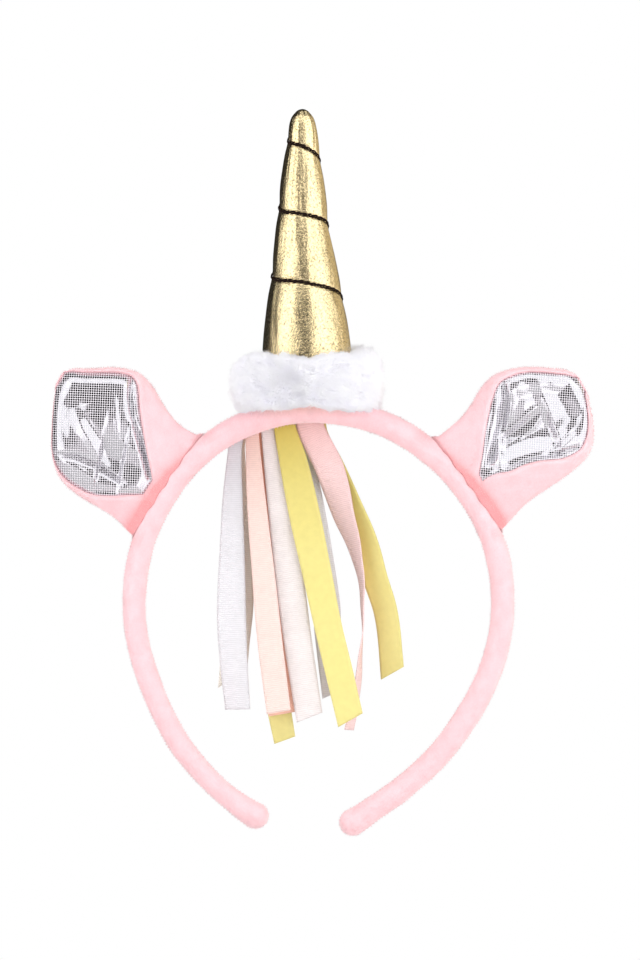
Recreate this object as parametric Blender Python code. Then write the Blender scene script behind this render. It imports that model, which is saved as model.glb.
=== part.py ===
"""Plush unicorn headband: a padded arch with two folded ears, a stuffed horn in a fur collar and ribbon tails.

Sizes are metres, written as millimetres times MM. The front faces -Y and +Z is up.
The origin lies under the padded band at its crown, where the band sits on the head.
"""

import math
from collections import namedtuple

import bmesh
import bpy
from mathutils import Vector

MM = 0.001
UP = Vector((0, 0, 1))
BACK = Vector((0, 1, 0))

# Clearance that pieces keep where they touch
GAP = 0.3 * MM

# Padded band
BAND_THICKNESS = 9.0 * MM
BAND_DEPTH = 10.5 * MM
ARCH_RADIUS = 77.0 * MM
ARCH_SIDE_SHIFT = 2.3 * MM
BAND_STATIONS = 62
BAND_SIDES = 14
BAND_CAP_RINGS = 3

# Middle line of the band round the arch's centre: radius is a share of ARCH_RADIUS, thickness of BAND_THICKNESS
ArchRow = namedtuple("ArchRow", "angle radius thickness")
ARCH = (
    ArchRow(-81, 0.939, 1.08),
    ArchRow(-72, 0.885, 0.99),
    ArchRow(-55, 0.833, 0.97),
    ArchRow(-30, 0.806, 0.97),
    ArchRow(0, 0.841, 0.95),
    ArchRow(25, 0.888, 0.97),
    ArchRow(50, 0.934, 1.00),
    ArchRow(70, 0.973, 1.03),
    ArchRow(95, 1.000, 1.04),
    ArchRow(120, 0.988, 1.03),
    ArchRow(145, 0.937, 0.99),
    ArchRow(170, 0.887, 0.93),
    ArchRow(200, 0.847, 0.90),
    ArchRow(225, 0.876, 0.89),
    ArchRow(243, 0.921, 0.92),
    ArchRow(251, 0.947, 1.06),
)

# Stuffed horn
HORN_HEIGHT = 107.0 * MM
HORN_BASE_RADIUS = 16.5 * MM
HORN_SHIFT = -2.9 * MM
HORN_LEAN = 1.6 * MM
HORN_SEAT = 3.2 * MM
HORN_RINGS = 44
HORN_SIDES = 24

# Horn outline: height is a share of HORN_HEIGHT, radius of HORN_BASE_RADIUS, lean of HORN_LEAN
HornRow = namedtuple("HornRow", "height radius lean")
HORN = (
    HornRow(0.00, 1.000, 0.00),
    HornRow(0.17, 0.975, 0.00),
    HornRow(0.30, 0.885, 0.20),
    HornRow(0.46, 0.725, 0.55),
    HornRow(0.57, 0.615, 0.95),
    HornRow(0.73, 0.490, 1.00),
    HornRow(0.865, 0.370, 1.00),
    HornRow(0.940, 0.300, 1.00),
    HornRow(0.972, 0.235, 1.00),
    HornRow(0.992, 0.130, 1.00),
)

# Twisted cord wound round the horn, pressed into it
CORD_RADIUS = 0.55 * MM
CORD_BITE = 0.5 * MM
CORD_GROOVE_WIDTH = 9.0 * MM
CORD_SIDES = 6
CORD_POINTS = 72

# Winding: turns are counted from the +X side, and at a half turn the cord is at the -X side; height is a share of HORN_HEIGHT
WindingRow = namedtuple("WindingRow", "turns height")
WINDING = (
    WindingRow(0.25, 0.952),
    WindingRow(0.50, 0.893),
    WindingRow(0.75, 0.872),
    WindingRow(1.00, 0.828),
    WindingRow(1.50, 0.668),
    WindingRow(1.75, 0.643),
    WindingRow(2.00, 0.610),
    WindingRow(2.50, 0.438),
    WindingRow(2.75, 0.412),
    WindingRow(3.00, 0.366),
    WindingRow(3.25, 0.240),
)

# Fur collar round the horn's foot
COLLAR_WIDTH = 11.6 * MM
COLLAR_HEIGHT = 19.5 * MM
COLLAR_DROP = 1.6 * MM
COLLAR_LOCK_HEIGHT = 1.7 * MM
COLLAR_SQUARENESS = 3.2
COLLAR_STATIONS = 52
COLLAR_SIDES = 16

# Rows of fur locks: level is the angle round the collar's section from its outer side, count the locks in a row
LockRow = namedtuple("LockRow", "level count start height")
COLLAR_LOCKS = (
    LockRow(-50, 13, 0.00, 0.80),
    LockRow(-10, 11, 0.35, 1.00),
    LockRow(32, 12, 0.70, 0.90),
    LockRow(72, 10, 0.15, 0.75),
)
COLLAR_LOCK_SPREAD = 30
# The collar stands taller on the +X side, where its pile is brushed up
COLLAR_BRUSH_LIFT = 3.4 * MM
COLLAR_BRUSH_AT = 15
COLLAR_BRUSH_SPREAD = 50

# Stuffed ears, folded at the root and sewn along the band
EAR_LENGTH = 53.3 * MM
EAR_WIDTH = 46.4 * MM
EAR_DEPTH = 19.0 * MM
EAR_ROUNDNESS = 2.3
EAR_BACK_STEPS = 8
EAR_RIM_STEPS = 2
EAR_PANEL_STEPS = 8
EAR_LINING = 1.0 * MM
EAR_SEAM = 0.6 * MM

# How full an ear is: along is a share of its length from the band's middle line to the tip, depth of EAR_DEPTH
PuffRow = namedtuple("PuffRow", "along depth")
EAR_PUFF = (
    PuffRow(0.00, 0.52),
    PuffRow(0.10, 0.60),
    PuffRow(0.31, 0.90),
    PuffRow(0.52, 1.00),
    PuffRow(0.71, 0.93),
    PuffRow(0.89, 0.68),
    PuffRow(0.95, 0.50),
    PuffRow(0.985, 0.30),
)

# Outline of an ear: along is a share of its length, upper and lower edge of EAR_WIDTH
EdgeRow = namedtuple("EdgeRow", "along upper lower")
# Foil panel on an ear's front: lower and upper are shares across the ear at that share along it
PanelRow = namedtuple("PanelRow", "along lower upper")
# Fold of a panel: a valley, or with a negative depth a ridge, from one place on the ear to another, both as shares
Fold = namedtuple("Fold", "along_from across_from along_to across_to depth width")
FOLD_DEPTH = 2.4 * MM
FOLD_WIDTH = 6.0 * MM

# Ear: angles of its root on the arch and of its middle line, length as a share of EAR_LENGTH, tip of EAR_WIDTH
Ear = namedtuple("Ear", "side root_angle axis_angle length tip outline panel folds")
EARS = {
    "left": Ear(
        side=-1,
        root_angle=138.0,
        axis_angle=150.0,
        length=1.02,
        tip=0.300,
        outline=(
            EdgeRow(0.00, 0.460, -0.480),
            EdgeRow(0.10, 0.453, -0.455),
            EdgeRow(0.20, 0.473, -0.422),
            EdgeRow(0.31, 0.530, -0.411),
            EdgeRow(0.42, 0.605, -0.412),
            EdgeRow(0.52, 0.645, -0.405),
            EdgeRow(0.61, 0.640, -0.385),
            EdgeRow(0.71, 0.595, -0.325),
            EdgeRow(0.80, 0.530, -0.215),
            EdgeRow(0.88, 0.470, -0.050),
            EdgeRow(0.94, 0.430, 0.095),
            EdgeRow(0.98, 0.385, 0.210),
        ),
        panel=(
            PanelRow(0.12, 0.33, 0.48),
            PanelRow(0.20, 0.24, 0.57),
            PanelRow(0.31, 0.13, 0.69),
            PanelRow(0.42, 0.06, 0.80),
            PanelRow(0.52, 0.04, 0.92),
            PanelRow(0.61, 0.04, 0.96),
            PanelRow(0.98, 0.05, 0.95),
        ),
        folds=(
            Fold(0.78, 0.16, 0.25, 0.42, 1.0, 0.8),
            Fold(0.62, 0.90, 0.30, 0.60, 0.9, 0.7),
            Fold(0.80, 0.55, 0.34, 0.38, -0.6, 0.8),
        ),
    ),
    "right": Ear(
        side=1,
        root_angle=44.5,
        axis_angle=29.5,
        length=1.045,
        tip=0.240,
        outline=(
            EdgeRow(0.00, 0.415, -0.470),
            EdgeRow(0.10, 0.435, -0.443),
            EdgeRow(0.20, 0.460, -0.402),
            EdgeRow(0.31, 0.515, -0.365),
            EdgeRow(0.42, 0.590, -0.350),
            EdgeRow(0.52, 0.622, -0.342),
            EdgeRow(0.61, 0.610, -0.332),
            EdgeRow(0.71, 0.570, -0.312),
            EdgeRow(0.80, 0.510, -0.280),
            EdgeRow(0.88, 0.445, -0.195),
            EdgeRow(0.94, 0.395, -0.060),
            EdgeRow(0.98, 0.335, 0.090),
        ),
        panel=(
            PanelRow(0.12, 0.44, 0.51),
            PanelRow(0.20, 0.41, 0.61),
            PanelRow(0.31, 0.32, 0.75),
            PanelRow(0.42, 0.27, 0.85),
            PanelRow(0.52, 0.22, 0.92),
            PanelRow(0.71, 0.11, 0.95),
            PanelRow(0.88, 0.14, 0.93),
            PanelRow(0.98, 0.30, 0.86),
        ),
        folds=(
            Fold(0.50, 0.88, 0.24, 0.52, 1.0, 0.8),
            Fold(0.72, 0.60, 0.36, 0.48, 0.8, 0.7),
            Fold(0.84, 0.26, 0.50, 0.36, 0.9, 0.7),
        ),
    ),
}

# Ribbon tails, sewn behind the band
RIBBON_WIDTH = 10.0 * MM
RIBBON_THICKNESS = 1.0 * MM
RIBBON_REACH = 100.0 * MM
RIBBON_FAN = 40.0 * MM
RIBBON_LAYER = 1.35 * MM
RIBBON_LAYER_SPREAD = 2.2 * MM
RIBBON_TOP = -1.2 * MM
RIBBON_STEPS = 18

# Path of a ribbon: down is a share of RIBBON_REACH below the origin, out of RIBBON_FAN to the +X side,
# turn is the angle that it turns about its own length, width a share of RIBBON_WIDTH where it is gathered
PathRow = namedtuple("PathRow", "down out turn width")
# Ribbon: layer counts from the front, cut is how far its +X corner is cut longer than its -X corner
Ribbon = namedtuple("Ribbon", "colour layer root path cut")
RIBBONS = {
    "ribbon_1": Ribbon("white", 1, -0.70, (
        PathRow(0.10, -0.725, 0, 0.50),
        PathRow(0.28, -0.745, -2, 0.74),
        PathRow(0.45, -0.750, -4, 0.90),
        PathRow(0.58, -0.755, -4, 1.00),
        PathRow(0.71, -0.755, -4, 1.06),
        PathRow(0.84, -0.740, -6, 1.02),
        PathRow(0.92, -0.725, -8, 0.98),
        PathRow(1.035, -0.700, -10, 0.92),
    ), 0.5 * MM),
    "ribbon_2": Ribbon("white", 3, -0.70, (
        PathRow(0.10, -0.710, 0, 0.60),
        PathRow(0.36, -0.695, 0, 0.86),
        PathRow(0.64, -0.675, 0, 0.94),
        PathRow(0.80, -0.720, 0, 1.00),
        PathRow(0.92, -0.747, 0, 1.00),
    ), -9.0 * MM),
    "ribbon_3": Ribbon("pink", 0, -0.570, (
        PathRow(0.06, -0.567, 0, 0.50),
        PathRow(0.30, -0.525, 0, 0.70),
        PathRow(0.56, -0.463, 0, 0.83),
        PathRow(0.78, -0.410, 0, 0.90),
        PathRow(1.043, -0.328, 0, 0.88),
    ), -0.4 * MM),
    "ribbon_4": Ribbon("pink", 2, -0.550, (
        PathRow(0.06, -0.550, 0, 0.60),
        PathRow(0.25, -0.515, 0, 0.80),
        PathRow(0.46, -0.472, 0, 0.92),
        PathRow(0.78, -0.387, 0, 0.98),
        PathRow(1.053, -0.297, 0, 0.98),
    ), -0.4 * MM),
    "ribbon_5": Ribbon("white", 1, -0.430, (
        PathRow(0.06, -0.418, 0, 0.50),
        PathRow(0.25, -0.340, 0, 0.80),
        PathRow(0.56, -0.230, 0, 1.02),
        PathRow(0.78, -0.158, 0, 1.02),
        PathRow(1.064, -0.050, 0, 0.98),
    ), -2.2 * MM),
    "ribbon_6": Ribbon("yellow", 3, -0.480, (
        PathRow(0.06, -0.477, 0, 0.60),
        PathRow(0.35, -0.450, 0, 0.80),
        PathRow(0.71, -0.415, 0, 0.86),
        PathRow(1.00, -0.340, 0, 0.88),
        PathRow(1.15, -0.275, 0, 0.80),
    ), -1.4 * MM),
    "ribbon_7": Ribbon("yellow", 0, -0.280, (
        PathRow(0.02, -0.270, 0, 0.79),
        PathRow(0.13, -0.200, 0, 1.00),
        PathRow(0.32, -0.099, 0, 1.12),
        PathRow(0.54, 0.018, 0, 1.06),
        PathRow(0.73, 0.117, 0, 1.00),
        PathRow(0.895, 0.216, 0, 1.00),
        PathRow(1.072, 0.320, 0, 0.98),
    ), -2.9 * MM),
    "ribbon_8": Ribbon("white", 4, -0.190, (
        PathRow(0.02, -0.171, 0, 0.70),
        PathRow(0.28, -0.045, 0, 0.95),
        PathRow(0.64, 0.099, 0, 1.00),
        PathRow(0.73, 0.113, 0, 1.00),
        PathRow(0.98, 0.186, 0, 1.00),
    ), -3.0 * MM),
    "ribbon_9": Ribbon("pink", 1, -0.050, (
        PathRow(0.02, -0.036, 0, 1.00),
        PathRow(0.16, 0.130, -6, 1.04),
        PathRow(0.32, 0.252, -38, 1.00),
        PathRow(0.48, 0.378, -68, 1.00),
        PathRow(0.59, 0.423, -80, 1.00),
        PathRow(0.73, 0.432, -88, 1.00),
        PathRow(0.84, 0.414, -97, 1.00),
        PathRow(1.00, 0.365, -103, 1.00),
        PathRow(1.111, 0.306, -104, 1.00),
    ), 0.0 * MM),
    "ribbon_10": Ribbon("yellow", 2, -0.020, (
        PathRow(0.04, 0.000, 0, 0.94),
        PathRow(0.15, 0.135, -14, 0.98),
        PathRow(0.30, 0.320, -28, 1.00),
        PathRow(0.46, 0.482, -30, 1.00),
        PathRow(0.57, 0.556, -28, 1.00),
        PathRow(0.68, 0.635, -32, 1.00),
        PathRow(0.78, 0.680, -34, 1.00),
        PathRow(0.906, 0.698, -34, 1.00),
    ), -4.4 * MM),
}

# Base colours, linear red, green and blue, with roughness and metallic
Finish = namedtuple("Finish", "colour roughness metallic")
FINISHES = {
    "pink_plush": Finish((0.92, 0.60, 0.64), 0.95, 0.0),
    "silver_foil": Finish((0.78, 0.78, 0.80), 0.30, 0.8),
    "gold_lame": Finish((0.80, 0.58, 0.22), 0.32, 1.0),
    "black_cord": Finish((0.025, 0.015, 0.012), 0.80, 0.0),
    "white_fur": Finish((0.90, 0.90, 0.92), 1.00, 0.0),
    "white": Finish((0.86, 0.86, 0.87), 0.70, 0.0),
    "pink": Finish((0.92, 0.68, 0.64), 0.70, 0.0),
    "yellow": Finish((0.90, 0.80, 0.28), 0.50, 0.0),
}


# Helpers for tables, meshes and objects


def smooth(rows, key, column, at):
    """A column of the table read at a key, on a cubic curve through its rows."""
    keys = [getattr(row, key) for row in rows]
    values = [getattr(row, column) for row in rows]
    at = min(max(at, keys[0]), keys[-1])
    last = len(keys) - 1
    i = max(k for k in range(last) if keys[k] <= at)

    def slope(k):
        low, high = max(k - 1, 0), min(k + 1, last)
        return (values[high] - values[low]) / (keys[high] - keys[low])

    span = keys[i + 1] - keys[i]
    t = (at - keys[i]) / span
    return (
        (2 * t**3 - 3 * t**2 + 1) * values[i]
        + (t**3 - 2 * t**2 + t) * span * slope(i)
        + (3 * t**2 - 2 * t**3) * values[i + 1]
        + (t**3 - t**2) * span * slope(i + 1)
    )


def spread(low, high, count):
    """Evenly spaced values from low to high, both ends included."""
    return [low + (high - low) * k / (count - 1) for k in range(count)]


def loft(rings, start_pole=None, end_pole=None, closed=False):
    """A bmesh skin over rings of equally many points, closed at its ends by a pole or by one flat face."""
    bm = bmesh.new()
    loops = [[bm.verts.new(point) for point in ring] for ring in rings]
    sides = len(rings[0])
    pairs = list(zip(loops, loops[1:]))
    if closed:
        pairs.append((loops[-1], loops[0]))
    for near, far in pairs:
        for k in range(sides):
            n = (k + 1) % sides
            bm.faces.new((near[k], near[n], far[n], far[k]))
    if not closed:
        for loop, pole in ((loops[0], start_pole), (loops[-1], end_pole)):
            if pole is None:
                bm.faces.new(loop)
                continue
            tip = bm.verts.new(pole)
            for k in range(sides):
                bm.faces.new((loop[k], loop[(k + 1) % sides], tip))
    bmesh.ops.recalc_face_normals(bm, faces=bm.faces)
    return bm


def material(name, finish_name):
    """A Principled material of its own for the named piece."""
    finish = FINISHES[finish_name]
    made = bpy.data.materials.new(name)
    made.use_nodes = True
    shader = made.node_tree.nodes["Principled BSDF"]
    shader.inputs["Base Color"].default_value = (*finish.colour, 1.0)
    shader.inputs["Roughness"].default_value = finish.roughness
    shader.inputs["Metallic"].default_value = finish.metallic
    return made


def add_object(name, data, finish_name, parent=None):
    """A scene object made from the mesh or curve, hung on its parent."""
    made = bpy.data.objects.new(name, data)
    bpy.context.scene.collection.objects.link(made)
    data.materials.append(material(name, finish_name))
    made.parent = parent
    return made


def mesh_from(name, bm):
    """A smooth-shaded mesh made from the bmesh, which it frees."""
    mesh = bpy.data.meshes.new(name)
    bm.to_mesh(mesh)
    bm.free()
    mesh.shade_smooth()
    return mesh


def add_empty(name, place, parent=None):
    """An empty that pieces hang on."""
    made = bpy.data.objects.new(name, None)
    bpy.context.scene.collection.objects.link(made)
    made.empty_display_size = 10 * MM
    made.location = place
    made.parent = parent
    return made


def cut_by(target, cutter):
    """Takes the cutter's shape out of the target."""
    cut = target.modifiers.new("seat", "BOOLEAN")
    cut.operation = "DIFFERENCE"
    cut.object = cutter


# Padded band

CROWN_ANGLE = 90 + math.degrees(math.asin(ARCH_SIDE_SHIFT / ARCH_RADIUS))
CROWN_RADIUS = ARCH_RADIUS * smooth(ARCH, "angle", "radius", CROWN_ANGLE)
CROWN_THICKNESS = BAND_THICKNESS * smooth(ARCH, "angle", "thickness", CROWN_ANGLE)
ARCH_CENTRE = Vector((
    ARCH_SIDE_SHIFT,
    0,
    CROWN_THICKNESS / 2 - CROWN_RADIUS * math.sin(math.radians(CROWN_ANGLE)),
))


def arch_point(angle):
    """Middle of the band at an angle round the arch's centre, 0 at the +X side and 90 at the top."""
    radius = ARCH_RADIUS * smooth(ARCH, "angle", "radius", angle)
    turn = math.radians(angle)
    return ARCH_CENTRE + radius * Vector((math.cos(turn), 0, math.sin(turn)))


def arch_angle_at(x):
    """Angle at which the upper part of the band's middle line passes over x."""
    low, high = 40.0, 150.0
    for _ in range(40):
        middle = (low + high) / 2
        if arch_point(middle).x > x:
            low = middle
        else:
            high = middle
    return middle


def arch_outward(angle):
    """Direction square to the band's middle line, away from the arch's inside."""
    step = 0.5
    first, last = ARCH[0].angle, ARCH[-1].angle
    along = arch_point(min(angle + step, last)) - arch_point(max(angle - step, first))
    return BACK.cross(along).normalized()


def band_section(middle, outward, half_thickness, half_depth):
    """One ring of the padded band."""
    return [
        middle
        + outward * half_thickness * math.cos(turn)
        + BACK * half_depth * math.sin(turn)
        for turn in spread(0, 2 * math.pi, BAND_SIDES + 1)[:-1]
    ]


def band_skin(clearance=0.0):
    """The padded band from tip to tip, grown all over by the clearance."""
    rings = []
    first, last = ARCH[0].angle, ARCH[-1].angle
    poles = []
    for end, sign in ((first, -1), (last, 1)):
        outward = arch_outward(end)
        onward = outward.cross(BACK) * sign
        radius = BAND_THICKNESS * smooth(ARCH, "angle", "thickness", end) / 2 + clearance
        depth = BAND_DEPTH / 2 + clearance
        cap = []
        for k in range(1, BAND_CAP_RINGS + 1):
            turn = math.pi / 2 * k / (BAND_CAP_RINGS + 1)
            middle = arch_point(end) + onward * radius * math.sin(turn)
            shrink = math.cos(turn)
            cap.append(band_section(middle, outward, radius * shrink, depth * shrink))
        poles.append(arch_point(end) + onward * radius)
        rings.append(cap)
    start_cap, end_cap = rings
    body = [
        band_section(
            arch_point(angle),
            arch_outward(angle),
            BAND_THICKNESS * smooth(ARCH, "angle", "thickness", angle) / 2 + clearance,
            BAND_DEPTH / 2 + clearance,
        )
        for angle in spread(first, last, BAND_STATIONS)
    ]
    return loft(start_cap[::-1] + body + end_cap, poles[0], poles[1])


def build_band(headband):
    add_object("padded_band", mesh_from("padded_band", band_skin()), "pink_plush", headband)


def build_band_seat(headband):
    """Helper that the pieces sewn on the band are cut by, so that they sit astride it."""
    mesh = mesh_from("band_seat", band_skin(GAP))
    seat = add_object("band_seat", mesh, "pink_plush", headband)
    seat.hide_render = True
    seat.display_type = "WIRE"
    return seat


# Horn, its cord and the fur collar

HORN_FOOT = CROWN_THICKNESS - HORN_SEAT


def horn_axis(share):
    """Middle of the horn at a share of its height, above the middle of its foot."""
    lean = -HORN_LEAN * smooth(HORN, "height", "lean", share)
    return Vector((lean, 0, HORN_HEIGHT * share))


def cord_height(turns):
    return HORN_HEIGHT * smooth(WINDING, "turns", "height", turns)


def groove(turn, height):
    """How deep the cord presses the horn in, at a share of a turn and a height above its foot."""
    first, last = WINDING[0].turns, WINDING[-1].turns
    passes = [turn + k for k in range(5) if first <= turn + k <= last]
    nearest = min((abs(height - cord_height(t)) for t in passes), default=math.inf)
    return CORD_BITE * math.exp(-((nearest / (CORD_GROOVE_WIDTH / 2)) ** 2))


def horn_radius(turn, share):
    plain = HORN_BASE_RADIUS * smooth(HORN, "height", "radius", share)
    return plain - groove(turn, HORN_HEIGHT * share)


def horn_point(turn, share, proud=0.0):
    """Point on the horn, or proud of it, at a share of a turn from the +X side towards the back."""
    angle = 2 * math.pi * turn
    outward = Vector((math.cos(angle), math.sin(angle), 0))
    return horn_axis(share) + outward * (horn_radius(turn, share) + proud)


def build_horn(foot, band_seat):
    shares = spread(0, HORN[-1].height, HORN_RINGS)
    turns = spread(0, 1, HORN_SIDES + 1)[:-1]
    rings = [[horn_point(turn, share) for turn in turns] for share in shares]
    mesh = mesh_from("horn", loft(rings, end_pole=horn_axis(1.0)))
    cut_by(add_object("horn", mesh, "gold_lame", foot), band_seat)


def build_cord(foot):
    """The cord as a tube that follows its groove."""
    first, last = WINDING[0].turns, WINDING[-1].turns
    line = []
    for turns in spread(first, last, CORD_POINTS):
        share = cord_height(turns) / HORN_HEIGHT
        line.append(horn_point(turns % 1, share, GAP + CORD_RADIUS))
    curve = bpy.data.curves.new("spiral_cord", "CURVE")
    curve.dimensions = "3D"
    curve.bevel_depth = CORD_RADIUS
    curve.bevel_resolution = CORD_SIDES // 2 - 2
    curve.use_fill_caps = True
    spline = curve.splines.new("POLY")
    spline.points.add(len(line) - 1)
    for point, place in zip(spline.points, line):
        point.co = (*place, 1)
    add_object("spiral_cord", curve, "black_cord", foot)


def lock_height(turn, level):
    """Height of the fur's locks above the backing, at an angle round the horn and one round the section."""
    highest = 0.0
    for row in COLLAR_LOCKS:
        pitch = 360 / row.count
        off_level = (level - row.level + 180) % 360 - 180
        off_turn = (turn - row.start * pitch + pitch / 2) % pitch - pitch / 2
        bump = math.cos(math.pi * off_turn / pitch) ** 2
        bump *= math.exp(-((off_level / COLLAR_LOCK_SPREAD) ** 2))
        highest = max(highest, row.height * bump)
    return COLLAR_LOCK_HEIGHT * highest


def brush_lift(turn):
    """How far the pile stands up above the collar's plain height, at an angle round the horn."""
    off = (turn - COLLAR_BRUSH_AT + 180) % 360 - 180
    return COLLAR_BRUSH_LIFT * math.exp(-((off / COLLAR_BRUSH_SPREAD) ** 2))


def build_collar(foot, band_seat):
    """The fur ring: a backing with locks on its outer side, cut to sit astride the band."""
    inner = HORN_BASE_RADIUS + GAP
    rings = []
    for turn in spread(0, 360, COLLAR_STATIONS + 1)[:-1]:
        outward = Vector((math.cos(math.radians(turn)), math.sin(math.radians(turn)), 0))
        lift = brush_lift(turn)
        ring = []
        for level in spread(-180, 180, COLLAR_SIDES + 1)[:-1]:
            turn_in, turn_up = math.cos(math.radians(level)), math.sin(math.radians(level))
            size = (abs(turn_in) ** COLLAR_SQUARENESS + abs(turn_up) ** COLLAR_SQUARENESS) ** (
                -1 / COLLAR_SQUARENESS
            )
            across = inner + COLLAR_WIDTH / 2 * (1 + turn_in * size)
            height = COLLAR_HEIGHT / 2 * (1 + turn_up * size)
            lock = lock_height(turn, level)
            across += lock * turn_in
            height += max(lock * turn_up, 0) + lift * height / COLLAR_HEIGHT
            ring.append(outward * across + UP * (height - COLLAR_DROP))
        rings.append(ring)
    mesh = mesh_from("fur_collar", loft(rings, closed=True))
    cut_by(add_object("fur_collar", mesh, "white_fur", foot), band_seat)


# Ears


def ear_section(ear, along, panel_lower, panel_upper):
    """Shares across and depths of one ring round the ear: front from the lower edge up, then the back down."""
    rim_low = [panel_lower * (k / EAR_RIM_STEPS) ** 2 for k in range(EAR_RIM_STEPS)]
    panel = spread(panel_lower, panel_upper, EAR_PANEL_STEPS + 1)
    rim_high = [
        1 - (1 - panel_upper) * (1 - k / EAR_RIM_STEPS) ** 2
        for k in range(1, EAR_RIM_STEPS + 1)
    ]
    front = rim_low + panel + rim_high
    back = [(1 + math.cos(math.pi * k / EAR_BACK_STEPS)) / 2 for k in range(1, EAR_BACK_STEPS)]
    puff = EAR_DEPTH / 2 * smooth(EAR_PUFF, "along", "depth", along)
    ring = []
    for shares, sign in ((front, -1), (back, 1)):
        for across in shares:
            edge = abs(2 * across - 1)
            swell = max(0.0, 1 - edge**EAR_ROUNDNESS) ** (1 / EAR_ROUNDNESS)
            depth = sign * puff * swell
            if sign < 0:
                depth += fold_depth(ear, along, across)
            ring.append((across, depth))
    return ring


def fold_depth(ear, along, across):
    """How far the foil panel's folds push the ear's front in at a place on it."""
    here = Vector((along * EAR_LENGTH, across * EAR_WIDTH))
    pushed = 0.0
    for fold in ear.folds:
        start = Vector((fold.along_from * EAR_LENGTH, fold.across_from * EAR_WIDTH))
        end = Vector((fold.along_to * EAR_LENGTH, fold.across_to * EAR_WIDTH))
        run = end - start
        share = min(max((here - start).dot(run) / run.length_squared, 0), 1)
        away = (here - start - run * share).length / (FOLD_WIDTH * fold.width)
        pushed += FOLD_DEPTH * fold.depth * math.exp(-(away**2))
    return pushed


def ear_rings(ear):
    """Rings of the ear from the band's middle line outwards, and its tip."""
    root = arch_point(ear.root_angle)
    turn = math.radians(ear.axis_angle)
    axis = Vector((math.cos(turn), 0, math.sin(turn))) * EAR_LENGTH * ear.length
    upward = axis.cross(BACK).normalized() * EAR_WIDTH * ear.side
    rings = []
    for row in ear.outline:
        low = smooth(ear.panel, "along", "lower", row.along)
        high = smooth(ear.panel, "along", "upper", row.along)
        ring = []
        for across, depth in ear_section(ear, row.along, low, high):
            rise = row.lower + (row.upper - row.lower) * across
            if row.along == 0:
                around = math.degrees(rise * EAR_WIDTH / (root - ARCH_CENTRE).length)
                place = arch_point(ear.root_angle + ear.side * around)
            else:
                place = root + axis * row.along + upward * rise
            ring.append(place + BACK * depth)
        rings.append(ring)
    return rings, root + axis + upward * ear.tip


def panel_faces(bm, ear):
    """The faces of the ear's skin that the foil panel covers, split into triangles."""
    bm.faces.ensure_lookup_table()
    sides = EAR_BACK_STEPS - 1 + 2 * EAR_RIM_STEPS + EAR_PANEL_STEPS + 1
    first_row = next(i for i, row in enumerate(ear.outline) if row.along >= ear.panel[0].along)
    covered = [
        bm.faces[row * sides + column]
        for row in range(first_row, len(ear.outline) - 1)
        for column in range(EAR_RIM_STEPS, EAR_RIM_STEPS + EAR_PANEL_STEPS)
    ]
    return bmesh.ops.triangulate(bm, faces=covered, quad_method="FIXED")["faces"]


def panel_bed(rings, tip, ear, margin):
    """The ear's skin with the foil panel's faces set in by a margin, and those faces."""
    bm = loft(rings, end_pole=tip)
    covered = panel_faces(bm, ear)
    bmesh.ops.inset_region(bm, faces=covered, thickness=margin, depth=0.0, use_even_offset=True)
    return bm, covered


def build_ear(name, ear, headband, band_seat):
    """The plush ear with a recess on its front, and the foil panel that lies in it."""
    part = f"ear_{name}"
    rings, tip = ear_rings(ear)
    bm, covered = panel_bed(rings, tip, ear, EAR_SEAM)
    floor = list({vert for face in covered for vert in face.verts})
    bmesh.ops.translate(bm, verts=floor, vec=BACK * (EAR_LINING + GAP))
    cut_by(add_object(part, mesh_from(part, bm), "pink_plush", headband), band_seat)

    bm, covered = panel_bed(rings, tip, ear, EAR_SEAM + GAP)
    rest = [face for face in bm.faces if face not in set(covered)]
    bmesh.ops.delete(bm, geom=rest, context="FACES")
    back = bmesh.ops.extrude_face_region(bm, geom=bm.faces[:], use_keep_orig=True)["geom"]
    moved = [item for item in back if isinstance(item, bmesh.types.BMVert)]
    bmesh.ops.translate(bm, verts=moved, vec=BACK * EAR_LINING)
    bmesh.ops.recalc_face_normals(bm, faces=bm.faces)
    add_object(f"{part}_lining", mesh_from(f"{part}_lining", bm), "silver_foil", headband)


# Ribbon tails


def ribbon_line(ribbon):
    """Middle line of a ribbon as rows of a place, a turn and a width, from where it is sewn down to its end."""
    root_x = ribbon.root * RIBBON_FAN
    sewn = arch_point(arch_angle_at(root_x))
    root_down = -(sewn.z + RIBBON_TOP) / RIBBON_REACH
    first = ribbon.path[0]
    rows = (PathRow(root_down, ribbon.root, first.turn, first.width), *ribbon.path)
    front = BAND_DEPTH / 2 + GAP + RIBBON_THICKNESS / 2
    line = []
    for down in spread(rows[0].down, rows[-1].down, RIBBON_STEPS + 1):
        fallen = (down - rows[0].down) / (1 - rows[0].down)
        layer = RIBBON_LAYER + RIBBON_LAYER_SPREAD * fallen
        turn = math.radians(smooth(rows, "down", "turn", down))
        width = RIBBON_WIDTH * smooth(rows, "down", "width", down)
        edge_depth = width / 2 * abs(math.sin(turn))
        place = Vector((
            RIBBON_FAN * smooth(rows, "down", "out", down),
            front + ribbon.layer * layer + edge_depth,
            -RIBBON_REACH * down,
        ))
        line.append((place, turn, width))
    return line


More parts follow.
